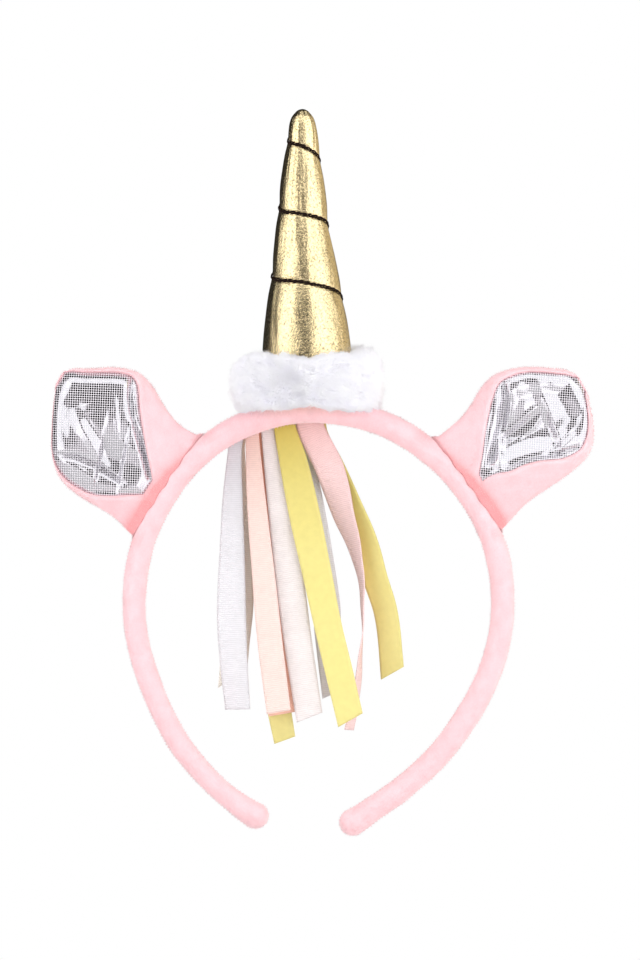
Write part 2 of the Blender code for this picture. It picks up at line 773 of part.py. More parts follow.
def build_ribbon(name, ribbon, headband):
    """A ribbon as a flat strip that bends, turns and ends in its cut."""
    line = ribbon_line(ribbon)
    rings = []
    for i, (place, turn, width) in enumerate(line):
        before, after = line[max(i - 1, 0)][0], line[min(i + 1, len(line) - 1)][0]
        along = (after - before).normalized()
        sideways = BACK.cross(along).normalized() * -1
        if sideways.x < 0:
            sideways.negate()
        across = sideways * math.cos(turn) + BACK * math.sin(turn)
        face = along.cross(across).normalized()
        slant = along * ribbon.cut / 2 if i == len(line) - 1 else Vector((0, 0, 0))
        half = across * width / 2
        thick = face * RIBBON_THICKNESS / 2
        rings.append([
            place + half + slant + thick,
            place + thick,
            place - half - slant + thick,
            place - half - slant - thick,
            place - thick,
            place + half + slant - thick,
        ])
    add_object(name, mesh_from(name, loft(rings)), ribbon.colour, headband)


def clear_scene():
    for old in list(bpy.data.objects):
        bpy.data.objects.remove(old)


def main():
    clear_scene()
    headband = add_empty("headband", (0, 0, 0))
    horn_foot = add_empty("horn_foot", (HORN_SHIFT, 0, HORN_FOOT), headband)
    build_band(headband)
    band_seat = build_band_seat(headband)
    build_horn(horn_foot, band_seat)
    build_cord(horn_foot)
    build_collar(horn_foot, band_seat)
    for name, ear in EARS.items():
        build_ear(name, ear, headband, band_seat)
    for name, ribbon in RIBBONS.items():
        build_ribbon(name, ribbon, headband)


main()
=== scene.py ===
"""Dressed model of a plush unicorn headband, in metres in the frame of the CAD.

It has a plush arch and ears, foil panels, a lamé horn, a fur collar and ribbon tails.
"""

import functools
import math
import random
from collections import namedtuple

import bmesh
import bpy
from bpy.props import FloatProperty, FloatVectorProperty, PointerProperty
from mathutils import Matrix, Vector, noise


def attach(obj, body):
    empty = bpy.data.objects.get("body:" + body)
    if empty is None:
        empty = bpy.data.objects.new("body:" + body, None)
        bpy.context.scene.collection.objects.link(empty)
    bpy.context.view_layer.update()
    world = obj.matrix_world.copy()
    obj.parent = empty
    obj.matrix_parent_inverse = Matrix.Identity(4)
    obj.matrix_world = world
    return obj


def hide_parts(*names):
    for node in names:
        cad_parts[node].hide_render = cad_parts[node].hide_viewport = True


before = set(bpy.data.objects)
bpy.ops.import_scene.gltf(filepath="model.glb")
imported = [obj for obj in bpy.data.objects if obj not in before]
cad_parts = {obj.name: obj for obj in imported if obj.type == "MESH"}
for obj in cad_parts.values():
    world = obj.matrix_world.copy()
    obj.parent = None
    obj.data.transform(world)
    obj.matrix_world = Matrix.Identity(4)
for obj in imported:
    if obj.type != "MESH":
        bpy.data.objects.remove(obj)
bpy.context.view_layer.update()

bl_info = {
    "name": "Plush unicorn headband",
    "version": (1, 0, 0),
    "blender": (4, 5, 0),
    "location": "View3D > Sidebar > Headband",
    "description": "Dresses the headband's frame with plush, foil, lamé, fur and ribbons, and lights it",
    "category": "Object",
}

MM = 0.001
UP = Vector((0, 0, 1))
BACK = Vector((0, 1, 0))


def rows_of(kind, *rows):
    """A table as named rows."""
    return tuple(kind(*row) for row in rows)


# How finely the pieces are meshed, and how many fibres cover them
BAND_STATIONS, BAND_SIDES, BAND_CAP_RINGS = 340, 40, 7
EAR_STATIONS, EAR_SIDES = 74, 84
PANEL_ROWS, PANEL_COLUMNS = 130, 104
HORN_RINGS, HORN_SIDES = 230, 112
CORD_STEPS, PLY_SIDES = 1100, 8
CORE_RINGS, CORE_SIDES = 96, 32
RIBBON_STEPS, RIBBON_COLUMNS = 120, 10
BAND_FIBRES, EAR_FIBRES = 30000, 12000
FUR_HAIRS, HAIRS_PER_LOCK = 46000, 80

# Forms shared with the frame, in metres

BAND_THICKNESS = 9.0 * MM
BAND_DEPTH = 10.5 * MM
ARCH_RADIUS = 77.0 * MM
ARCH_SIDE_SHIFT = 2.3 * MM

# The band's middle line round the arch's centre, in shares of ARCH_RADIUS and BAND_THICKNESS
ArchRow = namedtuple("ArchRow", "angle radius thickness")
ARCH = rows_of(ArchRow,
    (-81, 0.939, 1.08), (-72, 0.885, 0.99), (-55, 0.833, 0.97), (-30, 0.806, 0.97),
    (0, 0.841, 0.95), (25, 0.888, 0.97), (50, 0.934, 1.00), (70, 0.973, 1.03), (95, 1.000, 1.04),
    (120, 0.988, 1.03), (145, 0.937, 0.99), (170, 0.887, 0.93), (200, 0.847, 0.90),
    (225, 0.876, 0.89), (243, 0.921, 0.92), (251, 0.947, 1.06),
)

HORN_HEIGHT = 107.0 * MM
HORN_BASE_RADIUS = 16.5 * MM
HORN_SHIFT = -2.9 * MM
HORN_LEAN = 1.6 * MM
HORN_SEAT = 3.2 * MM
CORD_RADIUS = 0.55 * MM
CORD_BITE = 0.5 * MM
CORD_GROOVE_WIDTH = 9.0 * MM
CORD_CUT, CORD_CUT_WIDTH = 0.6 * MM, 0.8 * MM
CORD_SINK = 0.1 * MM
HORN_LUMPS, HORN_PUCKERS = 0.26 * MM, 0.13 * MM

# Horn outline: height is a share of HORN_HEIGHT, radius of HORN_BASE_RADIUS, lean of HORN_LEAN
HornRow = namedtuple("HornRow", "height radius lean")
HORN = rows_of(HornRow,
    (0.00, 1.000, 0.00), (0.17, 0.975, 0.00), (0.30, 0.885, 0.20), (0.46, 0.725, 0.55),
    (0.57, 0.615, 0.95), (0.73, 0.490, 1.00), (0.865, 0.370, 1.00), (0.940, 0.300, 1.00),
    (0.972, 0.235, 1.00), (0.992, 0.130, 1.00),
)

# Winding of the cord: turns from the +X side, height is a share of HORN_HEIGHT
WindingRow = namedtuple("WindingRow", "turns height")
WINDING = rows_of(WindingRow,
    (0.25, 0.952), (0.50, 0.893), (0.75, 0.872), (1.00, 0.828), (1.50, 0.668), (1.75, 0.643),
    (2.00, 0.610), (2.50, 0.438), (2.75, 0.412), (3.00, 0.366), (3.25, 0.240),
)

COLLAR_WIDTH = 11.6 * MM
COLLAR_HEIGHT = 19.5 * MM
COLLAR_DROP = 1.6 * MM
COLLAR_SQUARENESS = 3.2
COLLAR_BRUSH_LIFT = 3.4 * MM
COLLAR_BRUSH_AT = 15
COLLAR_BRUSH_SPREAD = 50
COLLAR_TIE_AT = 272
COLLAR_TIE_SPREAD = 13
COLLAR_TIE_DRAW = 1.4 * MM
COLLAR_PARTING_SPREAD = 26
COLLAR_GAP = 0.3 * MM

EAR_LENGTH = 53.3 * MM
EAR_WIDTH = 46.4 * MM
EAR_DEPTH = 19.0 * MM
EAR_ROUNDNESS = 2.3

# How full an ear is, in shares of its length from the band's middle line and of EAR_DEPTH
PuffRow = namedtuple("PuffRow", "along depth")
EAR_PUFF = rows_of(PuffRow,
    (0.00, 0.52), (0.10, 0.60), (0.31, 0.90), (0.52, 1.00), (0.71, 0.93), (0.89, 0.68),
    (0.95, 0.50), (0.985, 0.30),
)

# Outline of an ear in shares of its length and of EAR_WIDTH, and of its foil panel in shares across the ear
EdgeRow = namedtuple("EdgeRow", "along upper lower")
PanelRow = namedtuple("PanelRow", "along lower upper")
# Fold in the foil, all in millimetres: its line across and up, how deep it is, negative where it stands
# out, and how wide
Fold = namedtuple("Fold", "line depth width")
Ear = namedtuple("Ear", "side root_angle axis_angle length tip outline panel roll hollow folds grain")
EARS = {
    "left": Ear(
        side=-1,
        root_angle=138.0,
        axis_angle=150.0,
        length=1.02,
        tip=0.300,
        outline=rows_of(EdgeRow,
            (0.00, 0.460, -0.480), (0.10, 0.453, -0.455), (0.20, 0.473, -0.422),
            (0.31, 0.530, -0.411), (0.42, 0.605, -0.412), (0.52, 0.645, -0.405),
            (0.61, 0.640, -0.385), (0.71, 0.595, -0.325), (0.80, 0.530, -0.215),
            (0.88, 0.470, -0.050), (0.94, 0.430, 0.095), (0.98, 0.385, 0.210),
        ),
        panel=rows_of(PanelRow,
            (0.12, 0.33, 0.48), (0.20, 0.24, 0.57), (0.31, 0.13, 0.69), (0.42, 0.06, 0.80),
            (0.52, 0.04, 0.92), (0.61, 0.03, 0.96), (0.80, 0.010, 0.95), (0.992, 0.012, 0.94),
        ),
        roll=1.2,
        hollow=0.8,
        folds=(
            Fold(((-77.9, -12.3), (-68.4, -14.1)), 4.8, 9.5),
            Fold((
                (-65.5, 17.4), (-66.2, 9.3), (-65.2, 1.6), (-62.8, -6.0), (-60.5, -13.2), (-59.0, -20.4),
            ), 2.0, 1.2),
            Fold(((-85.7, 3.4), (-83.2, -2.4), (-79.2, -9.6), (-74.7, -16.4)), -0.9, 1.6),
            Fold(((-82.4, 2.5), (-77.9, -4.2), (-73.8, -12.3)), 0.4, 1.0),
            Fold(((-81.9, 7.0), (-81.0, 3.4)), -0.45, 2.4),
            Fold(((-72.0, 11.1), (-71.6, 3.9), (-70.7, -5.1), (-69.3, -15.9)), -0.4, 1.0),
            Fold(((-69.3, -6.7), (-66.2, -8.9), (-63.0, -10.3)), -0.5, 0.8),
            Fold(((-93.6, -11.2), (-86.0, -12.1), (-79.2, -15.0), (-72.0, -19.3), (-68.4, -21.8)), 1.6, 1.0),
            Fold(((-91.4, -13.2), (-85.5, -15.9), (-78.3, -20.4)), -0.6, 1.2),
            Fold(((-82.4, -22.2), (-77.9, -23.1), (-72.0, -24.0)), 0.5, 1.4),
        ),
        grain=-2.0,
    ),
    "right": Ear(
        side=1,
        root_angle=44.5,
        axis_angle=29.5,
        length=1.045,
        tip=0.240,
        outline=rows_of(EdgeRow,
            (0.00, 0.415, -0.470), (0.10, 0.435, -0.443), (0.20, 0.460, -0.402),
            (0.31, 0.515, -0.365), (0.42, 0.590, -0.350), (0.52, 0.622, -0.342),
            (0.61, 0.610, -0.332), (0.71, 0.570, -0.312), (0.80, 0.510, -0.280),
            (0.88, 0.445, -0.195), (0.94, 0.395, -0.060), (0.98, 0.335, 0.090),
        ),
        panel=rows_of(PanelRow,
            (0.12, 0.44, 0.51), (0.20, 0.41, 0.61), (0.31, 0.32, 0.75), (0.42, 0.27, 0.85),
            (0.52, 0.22, 0.92), (0.71, 0.11, 0.95), (0.88, 0.14, 0.93), (0.992, 0.26, 0.87),
        ),
        roll=0.3,
        hollow=2.4,
        folds=(
            Fold(((65.7, -5.1), (77.0, -4.2), (86.0, -0.6)), 5.5, 12.0),
            Fold(((67.5, 16.0), (68.6, 7.9), (67.2, 0.3), (65.0, -6.9), (62.5, -15.0)), 2.0, 1.2),
            Fold(((70.2, 12.4), (71.3, 7.9), (69.8, 1.2)), -0.4, 1.2),
            Fold(((80.5, 6.4), (76.5, 3.4), (72.0, -0.6), (65.2, -5.1)), -0.45, 0.9),
            Fold(((80.1, 3.9), (75.1, -0.6), (67.0, -6.5)), 0.6, 1.3),
            Fold(((81.7, 3.9), (78.8, -1.1), (73.8, -5.1), (67.5, -8.5)), -0.45, 0.9),
            Fold(((98.5, -8.3), (91.3, -9.6), (81.5, -12.8)), 1.2, 1.0),
            Fold(((92.0, -2.2), (87.8, -6.5), (83.2, -11.0)), 0.6, 0.9),
            Fold(((93.6, -4.2), (89.5, -8.3), (84.2, -12.1)), -0.5, 0.9),
            Fold(((63.5, -11.4), (63.9, -17.7)), 0.6, 1.6),
        ),
        grain=-4.0,
    ),
}

RIBBON_WIDTH = 10.0 * MM
RIBBON_REACH = 100.0 * MM
RIBBON_FAN = 40.0 * MM
RIBBON_LAYER = 1.35 * MM
RIBBON_LAYER_SPREAD = 2.2 * MM
RIBBON_TOP = -1.2 * MM
RIBBON_GAP = 0.3 * MM
RIBBON_HALF = 0.5 * MM
RIBBON_BOW = 0.35 * MM
# How far below the seam the ribbons' painted shade fades
RIBBON_SHADE_FADE = 26 * MM

# Path of a ribbon in shares of RIBBON_REACH down, of RIBBON_FAN out and of RIBBON_WIDTH, its turn in degrees
PathRow = namedtuple("PathRow", "down out turn width")
Ribbon = namedtuple("Ribbon", "weave tint layer root path cut")
RIBBONS = {
    "ribbon_1": Ribbon("grosgrain", "white", 1, -0.70, rows_of(PathRow,
        (0.10, -0.725, 0, 0.50), (0.28, -0.745, -2, 0.74), (0.45, -0.750, -4, 0.90),
        (0.58, -0.755, -4, 1.00), (0.71, -0.755, -4, 1.06), (0.84, -0.740, -6, 1.02),
        (0.92, -0.725, -8, 0.98), (1.035, -0.700, -10, 0.92),
    ), 0.5 * MM),
    # ribbon_2 is white grosgrain with painted light and a painted yellowish cast of shade
    "ribbon_2": Ribbon("grosgrain", "painted_light_cream", 3, -0.70, rows_of(PathRow,
        (0.10, -0.710, 0, 0.60), (0.36, -0.695, 0, 0.86), (0.64, -0.675, 0, 0.94),
        (0.80, -0.720, 0, 1.00), (0.92, -0.747, 0, 1.00),
    ), -9.0 * MM),
    "ribbon_3": Ribbon("grosgrain", "peach", 0, -0.570, rows_of(PathRow,
        (0.06, -0.567, 0, 0.50), (0.30, -0.525, 0, 0.70), (0.56, -0.463, 0, 0.83),
        (0.78, -0.410, 0, 0.90), (1.043, -0.328, 0, 0.88),
    ), -0.4 * MM),
    "ribbon_4": Ribbon("grosgrain", "coral", 2, -0.550, rows_of(PathRow,
        (0.06, -0.550, 0, 0.60), (0.25, -0.515, 0, 0.80), (0.46, -0.472, 0, 0.92),
        (0.78, -0.387, 0, 0.98), (1.053, -0.297, 0, 0.98),
    ), -0.4 * MM),
    "ribbon_5": Ribbon("grosgrain", "blush", 1, -0.430, rows_of(PathRow,
        (0.06, -0.418, 0, 0.50), (0.25, -0.340, 0, 0.80), (0.56, -0.230, 0, 1.02),
        (0.78, -0.158, 0, 1.02), (1.064, -0.050, 0, 0.98),
    ), -2.2 * MM),
    "ribbon_6": Ribbon("satin", "yellow", 3, -0.480, rows_of(PathRow,
        (0.06, -0.477, 0, 0.60), (0.35, -0.450, 0, 0.80), (0.71, -0.415, 0, 0.86),
        (1.00, -0.340, 0, 0.88), (1.15, -0.275, 0, 0.80),
    ), -1.4 * MM),
    "ribbon_7": Ribbon("satin", "yellow", 0, -0.280, rows_of(PathRow,
        (0.02, -0.270, 0, 0.79), (0.13, -0.200, 0, 1.00), (0.32, -0.099, 0, 1.12),
        (0.54, 0.018, 0, 1.06), (0.73, 0.117, 0, 1.00), (0.895, 0.216, 0, 1.00),
        (1.072, 0.320, 0, 0.98),
    ), -2.9 * MM),
    "ribbon_8": Ribbon("grosgrain", "white", 4, -0.190, rows_of(PathRow,
        (0.02, -0.171, 0, 0.70), (0.28, -0.045, 0, 0.95), (0.64, 0.099, 0, 1.00),
        (0.73, 0.113, 0, 1.00), (0.98, 0.186, 0, 1.00),
    ), -3.0 * MM),
    "ribbon_9": Ribbon("grosgrain", "pink", 1, -0.050, rows_of(PathRow,
        (0.02, -0.036, 0, 1.00), (0.16, 0.130, -6, 1.04), (0.32, 0.252, -38, 1.00),
        (0.48, 0.378, -68, 1.00), (0.59, 0.423, -80, 1.00), (0.73, 0.432, -88, 1.00),
        (0.84, 0.414, -97, 1.00), (1.00, 0.365, -107, 1.00), (1.111, 0.306, -109, 1.00),
    ), 0.0 * MM),
    "ribbon_10": Ribbon("satin", "yellow", 2, -0.020, rows_of(PathRow,
        (0.04, 0.000, 0, 0.94), (0.15, 0.135, -14, 0.98), (0.30, 0.320, -28, 1.00),
        (0.46, 0.482, -30, 1.00), (0.57, 0.556, -28, 1.00), (0.68, 0.635, -32, 1.00),
        (0.78, 0.680, -34, 1.00), (0.906, 0.698, -34, 1.00),
    ), -4.4 * MM),
}

CAMERA_PLACE = (1.8 * MM, -1800.0 * MM, -20.4 * MM)
CAMERA_LENS = 187.5


def linear(code):
    """Linear red, green and blue of an sRGB hex colour."""
    shares = [int(code[k : k + 2], 16) / 255 for k in (1, 3, 5)]
    return [s / 12.92 if s <= 0.04045 else ((s + 0.055) / 1.055) ** 2.4 for s in shares]


def colour_setting(name, code, description):
    return FloatVectorProperty(
        name=name, subtype="COLOR", size=3, min=0, max=1, default=linear(code), description=description
    )


def length_setting(name, value, description):
    return FloatProperty(
        name=name, unit="LENGTH", min=0, default=value, precision=5, description=description
    )


class PlushSettings(bpy.types.PropertyGroup):
    colour: colour_setting("Plush colour", "#F9CACF", "Pink of the pile")
    # Painted shade: the deeper pink stands in for the shade in creases and seams
    crease_shade_colour: colour_setting("Crease colour", "#EE9A9C", "Deeper pink where the plush is tucked into a seam")
    grain: length_setting("Pile grain", 0.7 * MM, "Size of the tufts that show in the sheared pile")
    unevenness: length_setting("Unevenness", 0.22 * MM, "How far the wrapped foam swells and sinks")
    fuzz: length_setting("Fuzz", 0.9 * MM, "Length of the loose fibres that stand out of the pile")
    fibre: length_setting("Fibre", 0.09 * MM, "Thickness of a loose fibre at its root")


class FoilSettings(bpy.types.PropertyGroup):
    ground: colour_setting("Ground colour", "#E2DDE3", "Satin cloth under the dots")
    mirror: colour_setting("Dot colour", "#B4B4B9", "Silver foil of the dots")
    pitch: length_setting("Dot spacing", 0.83 * MM, "From one foil dot to the next")
    dot: length_setting("Dot size", 0.73 * MM, "Diameter of a foil dot")
    thickness: length_setting("Cloth thickness", 0.35 * MM, "Thickness of the foiled cloth")


class HornSettings(bpy.types.PropertyGroup):
    gold: colour_setting("Gold", "#EDD9AA", "Foil pressed on the horn's cloth")
    bare: colour_setting("Cracks", "#5B4415", "Cloth that shows where the foil has cracked")
    grain: length_setting("Foil grain", 0.7 * MM, "Size of the crazing in the foil")
    cord: colour_setting("Cord colour", "#1E120D", "Twisted twine round the horn")
    lay: length_setting("Cord lay", 4.4 * MM, "Length of one full twist of the cord")


class CollarSettings(bpy.types.PropertyGroup):
    colour: colour_setting("Fur colour", "#FDFDFE", "White of the fur")
    # Painted shade: a cooler white put in random patches as wide as a lock
    shade: colour_setting("Fur shade", "#F4F3FA", "Cooler white deep in the fur")
    pile: length_setting("Pile length", 5.6 * MM, "Length of the fur")
    hair: length_setting("Hair thickness", 0.22 * MM, "Thickness of a lock of fibres at its root")


class RibbonSettings(bpy.types.PropertyGroup):
    thickness: length_setting("Ribbon thickness", 0.4 * MM, "Thickness of a ribbon")
    rib: length_setting("Rib spacing", 0.72 * MM, "From one grosgrain rib to the next")
    white: colour_setting("White", "#E6E6EA", "White grosgrain")
    # Painted light: ribbon_2's white grosgrain, brightened against the shade it hangs in and given the
    # yellowish cast it shows there
    painted_light_cream: colour_setting("Cream", "#FEFBF0", "Off-white grosgrain with a yellow tint")
    blush: colour_setting("Blush", "#F2EBEA", "Off-white grosgrain with a pink tint")
    peach: colour_setting("Peach", "#F3DAD2", "Peach grosgrain")
    coral: colour_setting("Coral", "#FAC9B4", "Deeper peach grosgrain")
    pink: colour_setting("Pink", "#F8DBDA", "Pink grosgrain")
    yellow: colour_setting("Yellow", "#E6DB88", "Yellow satin")


class StudioSettings(bpy.types.PropertyGroup):
    floor_drop: length_setting("Floor drop", 400.0 * MM, "How far the floor lies below the band's crown")
    key: FloatProperty(
        name="Softbox radiance", default=1.85, min=0, description="Brightness of the softboxes"
    )


class HeadbandSettings(bpy.types.PropertyGroup):
    plush: PointerProperty(type=PlushSettings)
    foil: PointerProperty(type=FoilSettings)
    horn: PointerProperty(type=HornSettings)
    collar: PointerProperty(type=CollarSettings)
    ribbon: PointerProperty(type=RibbonSettings)
    studio: PointerProperty(type=StudioSettings)


# Reading tables and making meshes


def smooth(rows, column, at):
    """A column of the table at a value of its first column, on a cubic curve through its rows."""
    keys = [row[0] for row in rows]
    values = [getattr(row, column) for row in rows]
    at = min(max(at, keys[0]), keys[-1])
    last = len(keys) - 1
    i = max(k for k in range(last) if keys[k] <= at)

    def slope(k):
        low, high = max(k - 1, 0), min(k + 1, last)
        return (values[high] - values[low]) / (keys[high] - keys[low])

    span = keys[i + 1] - keys[i]
    t = (at - keys[i]) / span
    return (
        (2 * t**3 - 3 * t**2 + 1) * values[i]
        + (t**3 - 2 * t**2 + t) * span * slope(i)
        + (3 * t**2 - 2 * t**3) * values[i + 1]
        + (t**3 - t**2) * span * slope(i + 1)
    )


def spread(low, high, count):
    """Evenly spaced values from low to high, both ends included."""
    return [low + (high - low) * k / (count - 1) for k in range(count)]


def ease(value, low, high):
    """0 below low, 1 above high, with a soft rise between."""
    t = min(max((value - low) / (high - low), 0), 1)
    return t * t * (3 - 2 * t)


def direction(degrees):
    turn = math.radians(degrees)
    return Vector((math.cos(turn), 0, math.sin(turn)))


def tube_faces(base, rings, sides, closed=False):
    """The faces between the rings of a tube whose points are numbered from base."""
    faces = []
    for i in range(rings if closed else rings - 1):
        near, far = base + i * sides, base + (i + 1) % rings * sides
        for k in range(sides):
            n = (k + 1) % sides
            faces.append((near + k, near + n, far + n, far + k))
    return faces


def skin(name, rings, start_pole=None, end_pole=None, closed=False):
    """A smooth mesh over closed rings of equally many points, its ends closed by a pole or a face."""
    sides = len(rings[0])
    verts = [point for ring in rings for point in ring]
    count = len(rings)
    faces = tube_faces(0, count, sides, closed)
    if not closed:
        for start, pole in ((0, start_pole), ((count - 1) * sides, end_pole)):
            loop = [start + k for k in range(sides)]
            if pole is None:
                faces.append(loop)
                continue
            verts.append(pole)
            faces += [(loop[k], loop[(k + 1) % sides], len(verts) - 1) for k in range(sides)]
    return mesh_from(name, verts, faces)


def mesh_from(name, verts, faces):
    """A smooth-shaded mesh whose faces all look outwards."""
    mesh = bpy.data.meshes.new(name)
    mesh.from_pydata(verts, [], faces)
    bm = bmesh.new()
    bm.from_mesh(mesh)
    bmesh.ops.recalc_face_normals(bm, faces=bm.faces)
    bm.to_mesh(mesh)
    bm.free()
    mesh.shade_smooth()
    return mesh


def add_hair(verts, faces, start, end, side, thickness):
    """Adds a closed hair that tapers from a three-cornered foot to its free end."""
    other = side.cross(end - start).normalized()
    base = len(verts)
    for k in range(3):
        angle = 2 * math.pi * k / 3
        verts.append(start + (side * math.cos(angle) + other * math.sin(angle)) * thickness / 2)
    verts.append(end)
    faces.append((base + 2, base + 1, base))
    faces += [(base + k, base + (k + 1) % 3, base + 3) for k in range(3)]


def lay_out(mesh, flat):
    """Stores each vertex's place on the flat cloth, in metres, as the UV map that weaves are drawn on."""
    layer = mesh.uv_layers.new(name="cloth")
    for loop in mesh.loops:
        layer.data[loop.index].uv = flat[loop.vertex_index]


def shade_values(mesh, name, values):
    """Stores one number for each vertex."""
    mesh.attributes.new(name, "FLOAT", "POINT").data.foreach_set("value", values)


def add_object(name, data):
    made = bpy.data.objects.new(name, data)
    bpy.context.scene.collection.objects.link(made)
    return made


def add_piece(name, mesh, finish, slot, *nodes):
    """A shown piece that rides on the headband and stands for the nodes of the frame."""
    piece = add_object(name, mesh)
    mesh.materials.append(finish)
    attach(piece, "root")
    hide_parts(*nodes)
    return piece


# Materials

# Most of a noise texture's values lie between these
NOISE_RANGE = {"From Min": 0.3, "From Max": 0.7}
# A wave texture of scale 1 repeats after this many metres
WAVE_REPEAT = 0.314


def first_output(value):
    return value.outputs[0] if isinstance(value, bpy.types.Node) else value


def add_node(tree, kind, inputs=None, **options):
    """Adds a node, sets its options, and sets its inputs or links them, a node by its first output."""
    made = tree.nodes.new("ShaderNode" + kind)
    for option, value in options.items():
        setattr(made, option, value)
    for socket, value in (inputs or {}).items():
        value = first_output(value)
        if isinstance(value, bpy.types.NodeSocket):
            tree.links.new(value, made.inputs[socket])
        else:
            made.inputs[socket].default_value = value
    return made


def new_material(name, settings):
    """A material with a Principled shader, that shader, and the call that adds a node to its tree."""
    made = bpy.data.materials.get(name) or bpy.data.materials.new(name)
    made.use_nodes = True
    made.node_tree.nodes.clear()
    add = functools.partial(add_node, made.node_tree)
    shader = add("BsdfPrincipled", settings)
    add("OutputMaterial", {"Surface": shader})
    return made, shader, add


def wear(shader, **inputs):
    """Links sockets, or nodes by their first output, to the shader's inputs."""
    for name, value in inputs.items():
        shader.id_data.links.new(first_output(value), shader.inputs[name.replace("_", " ").title()])


def plush_finish(settings):
    """Short-pile plush: knitted polyester, brushed and sheared."""
    # The pile gives a soft, mottled surface with a pale bloom at its edges, and painted shade, a deeper
    # pink, in its creases and seams
    finish, shader, add = new_material("knitted_plush", {
        "Roughness": 0.9,
        "IOR": 1.5,
        "Specular IOR Level": 0.25,
        "Sheen Weight": 0.8,
        "Sheen Roughness": 0.45,
        "Sheen Tint": (1.0, 0.95, 0.955, 1),
    })
    place = add("TexCoord").outputs["Object"]
    tufts = add("TexNoise", {"Vector": place, "Scale": 1 / settings.grain, "Detail": 3, "Roughness": 0.6})
    # Brushing leaves patches about 5 mm across where the pile leans another way
    brushed = add("TexNoise", {"Vector": place, "Scale": 1 / (5 * MM), "Detail": 2})
    patches = add("MapRange", {"Value": brushed, **NOISE_RANGE, "To Min": 0.93, "To Max": 1.03})
    speckle = add("MapRange", {"Value": tufts, **NOISE_RANGE, "To Min": 0.95, "To Max": 1.03})
    both = add("Math", {0: patches, 1: speckle}, operation="MULTIPLY")
    # Painted shade: a deeper pink mixed in where the mesh stores its share of shade in creases and seams
    painted_crease_shade = add("Attribute", attribute_name="painted_crease_shade").outputs["Fac"]
    colours = {6: (*settings.colour, 1), 7: (*settings.crease_shade_colour, 1)}
    pink = add("Mix", {"Factor": painted_crease_shade, **colours}, data_type="RGBA").outputs[2]
    mottled = add("VectorMath", {0: pink, "Scale": both}, operation="SCALE")
    pile = add("Bump", {"Height": tufts, "Strength": 0.45, "Distance": 0.25 * MM})
    wear(shader, base_color=mottled, normal=pile)
    return finish


def foil_finish(settings):
    """Dot foil: polyester satin with round dots of hot-pressed silver foil."""
    # Each dot mirrors the room, so it is white or nearly black beside a ground that stays pale
    finish, shader, add = new_material("silver_dot_foil", {"IOR": 1.5, "Specular IOR Level": 0.25})
    cloth = add("UVMap", uv_map="cloth").outputs["UV"]
    cells = add("VectorMath", {0: cloth, "Scale": 1 / settings.pitch}, operation="SCALE")
    within = add("VectorMath", {0: cells}, operation="FRACTION")
    centred = add("VectorMath", {0: within, 1: (0.5, 0.5, 0)}, operation="SUBTRACT")
    off = add("VectorMath", {0: centred}, operation="LENGTH").outputs["Value"]
    edge = settings.dot / settings.pitch / 2
    rim = {"From Min": edge * 1.12, "From Max": edge * 0.88}
    dots = add("MapRange", {"Value": off, **rim}, interpolation_type="SMOOTHSTEP")
    colours = {6: (*settings.ground, 1), 7: (*settings.mirror, 1)}
    colour = add("Mix", {"Factor": dots, **colours}, data_type="RGBA").outputs[2]
    gloss = add("MapRange", {"Value": dots, "To Min": 0.55, "To Max": 0.09})
    # The foil lies uneven on the weave in patches about 1.5 mm across
    ripple = add("TexNoise", {"Vector": cloth, "Scale": 1 / (1.5 * MM), "Detail": 2})
    height = add("Math", {0: dots, 1: 0.5, 2: ripple}, operation="MULTIPLY_ADD")
    relief = add("Bump", {"Height": height, "Strength": 0.3, "Distance": 0.05 * MM})
    wear(shader, base_color=colour, metallic=dots, roughness=gloss, normal=relief)
    return finish


def lame_finish(settings):
    """Gold lamé: knitted cloth with gold foil pressed on it, crazed by stretching over the stuffing."""
    # The crazed foil breaks each reflection into bright and dark specks along the knit's fine ribs
    finish, shader, add = new_material("gold_lame", {"Metallic": 1})
    place = add("TexCoord").outputs["Object"]
    craze = add("TexNoise", {"Vector": place, "Scale": 1 / settings.grain, "Detail": 4, "Roughness": 0.75})
    flakes = add("TexVoronoi", {"Vector": place, "Scale": 1 / (0.75 * settings.grain)})
    # The knit's courses lie about 0.5 mm apart up the horn
    knit = {"Vector": place, "Scale": WAVE_REPEAT / (0.5 * MM), "Distortion": 1.2, "Detail": 1}
    courses = add("TexWave", knit, bands_direction="Z").outputs["Fac"]
    cracks = {"From Min": 0.37, "From Max": 0.49, "To Min": 0.75, "To Max": 0.0}
    cracked = add("MapRange", {"Value": craze, **cracks})
    colours = {6: (*settings.gold, 1), 7: (*settings.bare, 1)}
    colour = add("Mix", {"Factor": cracked, **colours}, data_type="RGBA").outputs[2]
    gloss = add("MapRange", {"Value": cracked, "To Min": 0.17, "To Max": 0.35})
    ribs = add("Math", {0: courses, 1: 0.35, 2: craze}, operation="MULTIPLY_ADD")
    height = add("Math", {0: flakes, 1: 0.5, 2: ribs}, operation="MULTIPLY_ADD")
    relief = add("Bump", {"Height": height, "Strength": 0.8, "Distance": 0.13 * MM})
    wear(shader, base_color=colour, roughness=gloss, normal=relief)
    return finish


def twine_finish(settings):
    """Waxed polyester twine, twisted from two plies of fine fibres."""
    # The fibres run along each ply and give it a dull, faintly streaked surface
    dull = {"Roughness": 0.85, "IOR": 1.5, "Specular IOR Level": 0.12}
    finish, shader, add = new_material("waxed_twine", dull)
    place = add("TexCoord").outputs["Object"]
    fibres = add("TexNoise", {"Vector": place, "Scale": 1 / (0.25 * MM), "Detail": 3})
    shade = add("MapRange", {"Value": fibres, **NOISE_RANGE, "To Min": 0.6, "To Max": 1.5})
    colour = add("VectorMath", {0: tuple(settings.cord), "Scale": shade}, operation="SCALE")
    relief = add("Bump", {"Height": fibres, "Strength": 0.5, "Distance": 0.1 * MM})
    wear(shader, base_color=colour, normal=relief)
    return finish


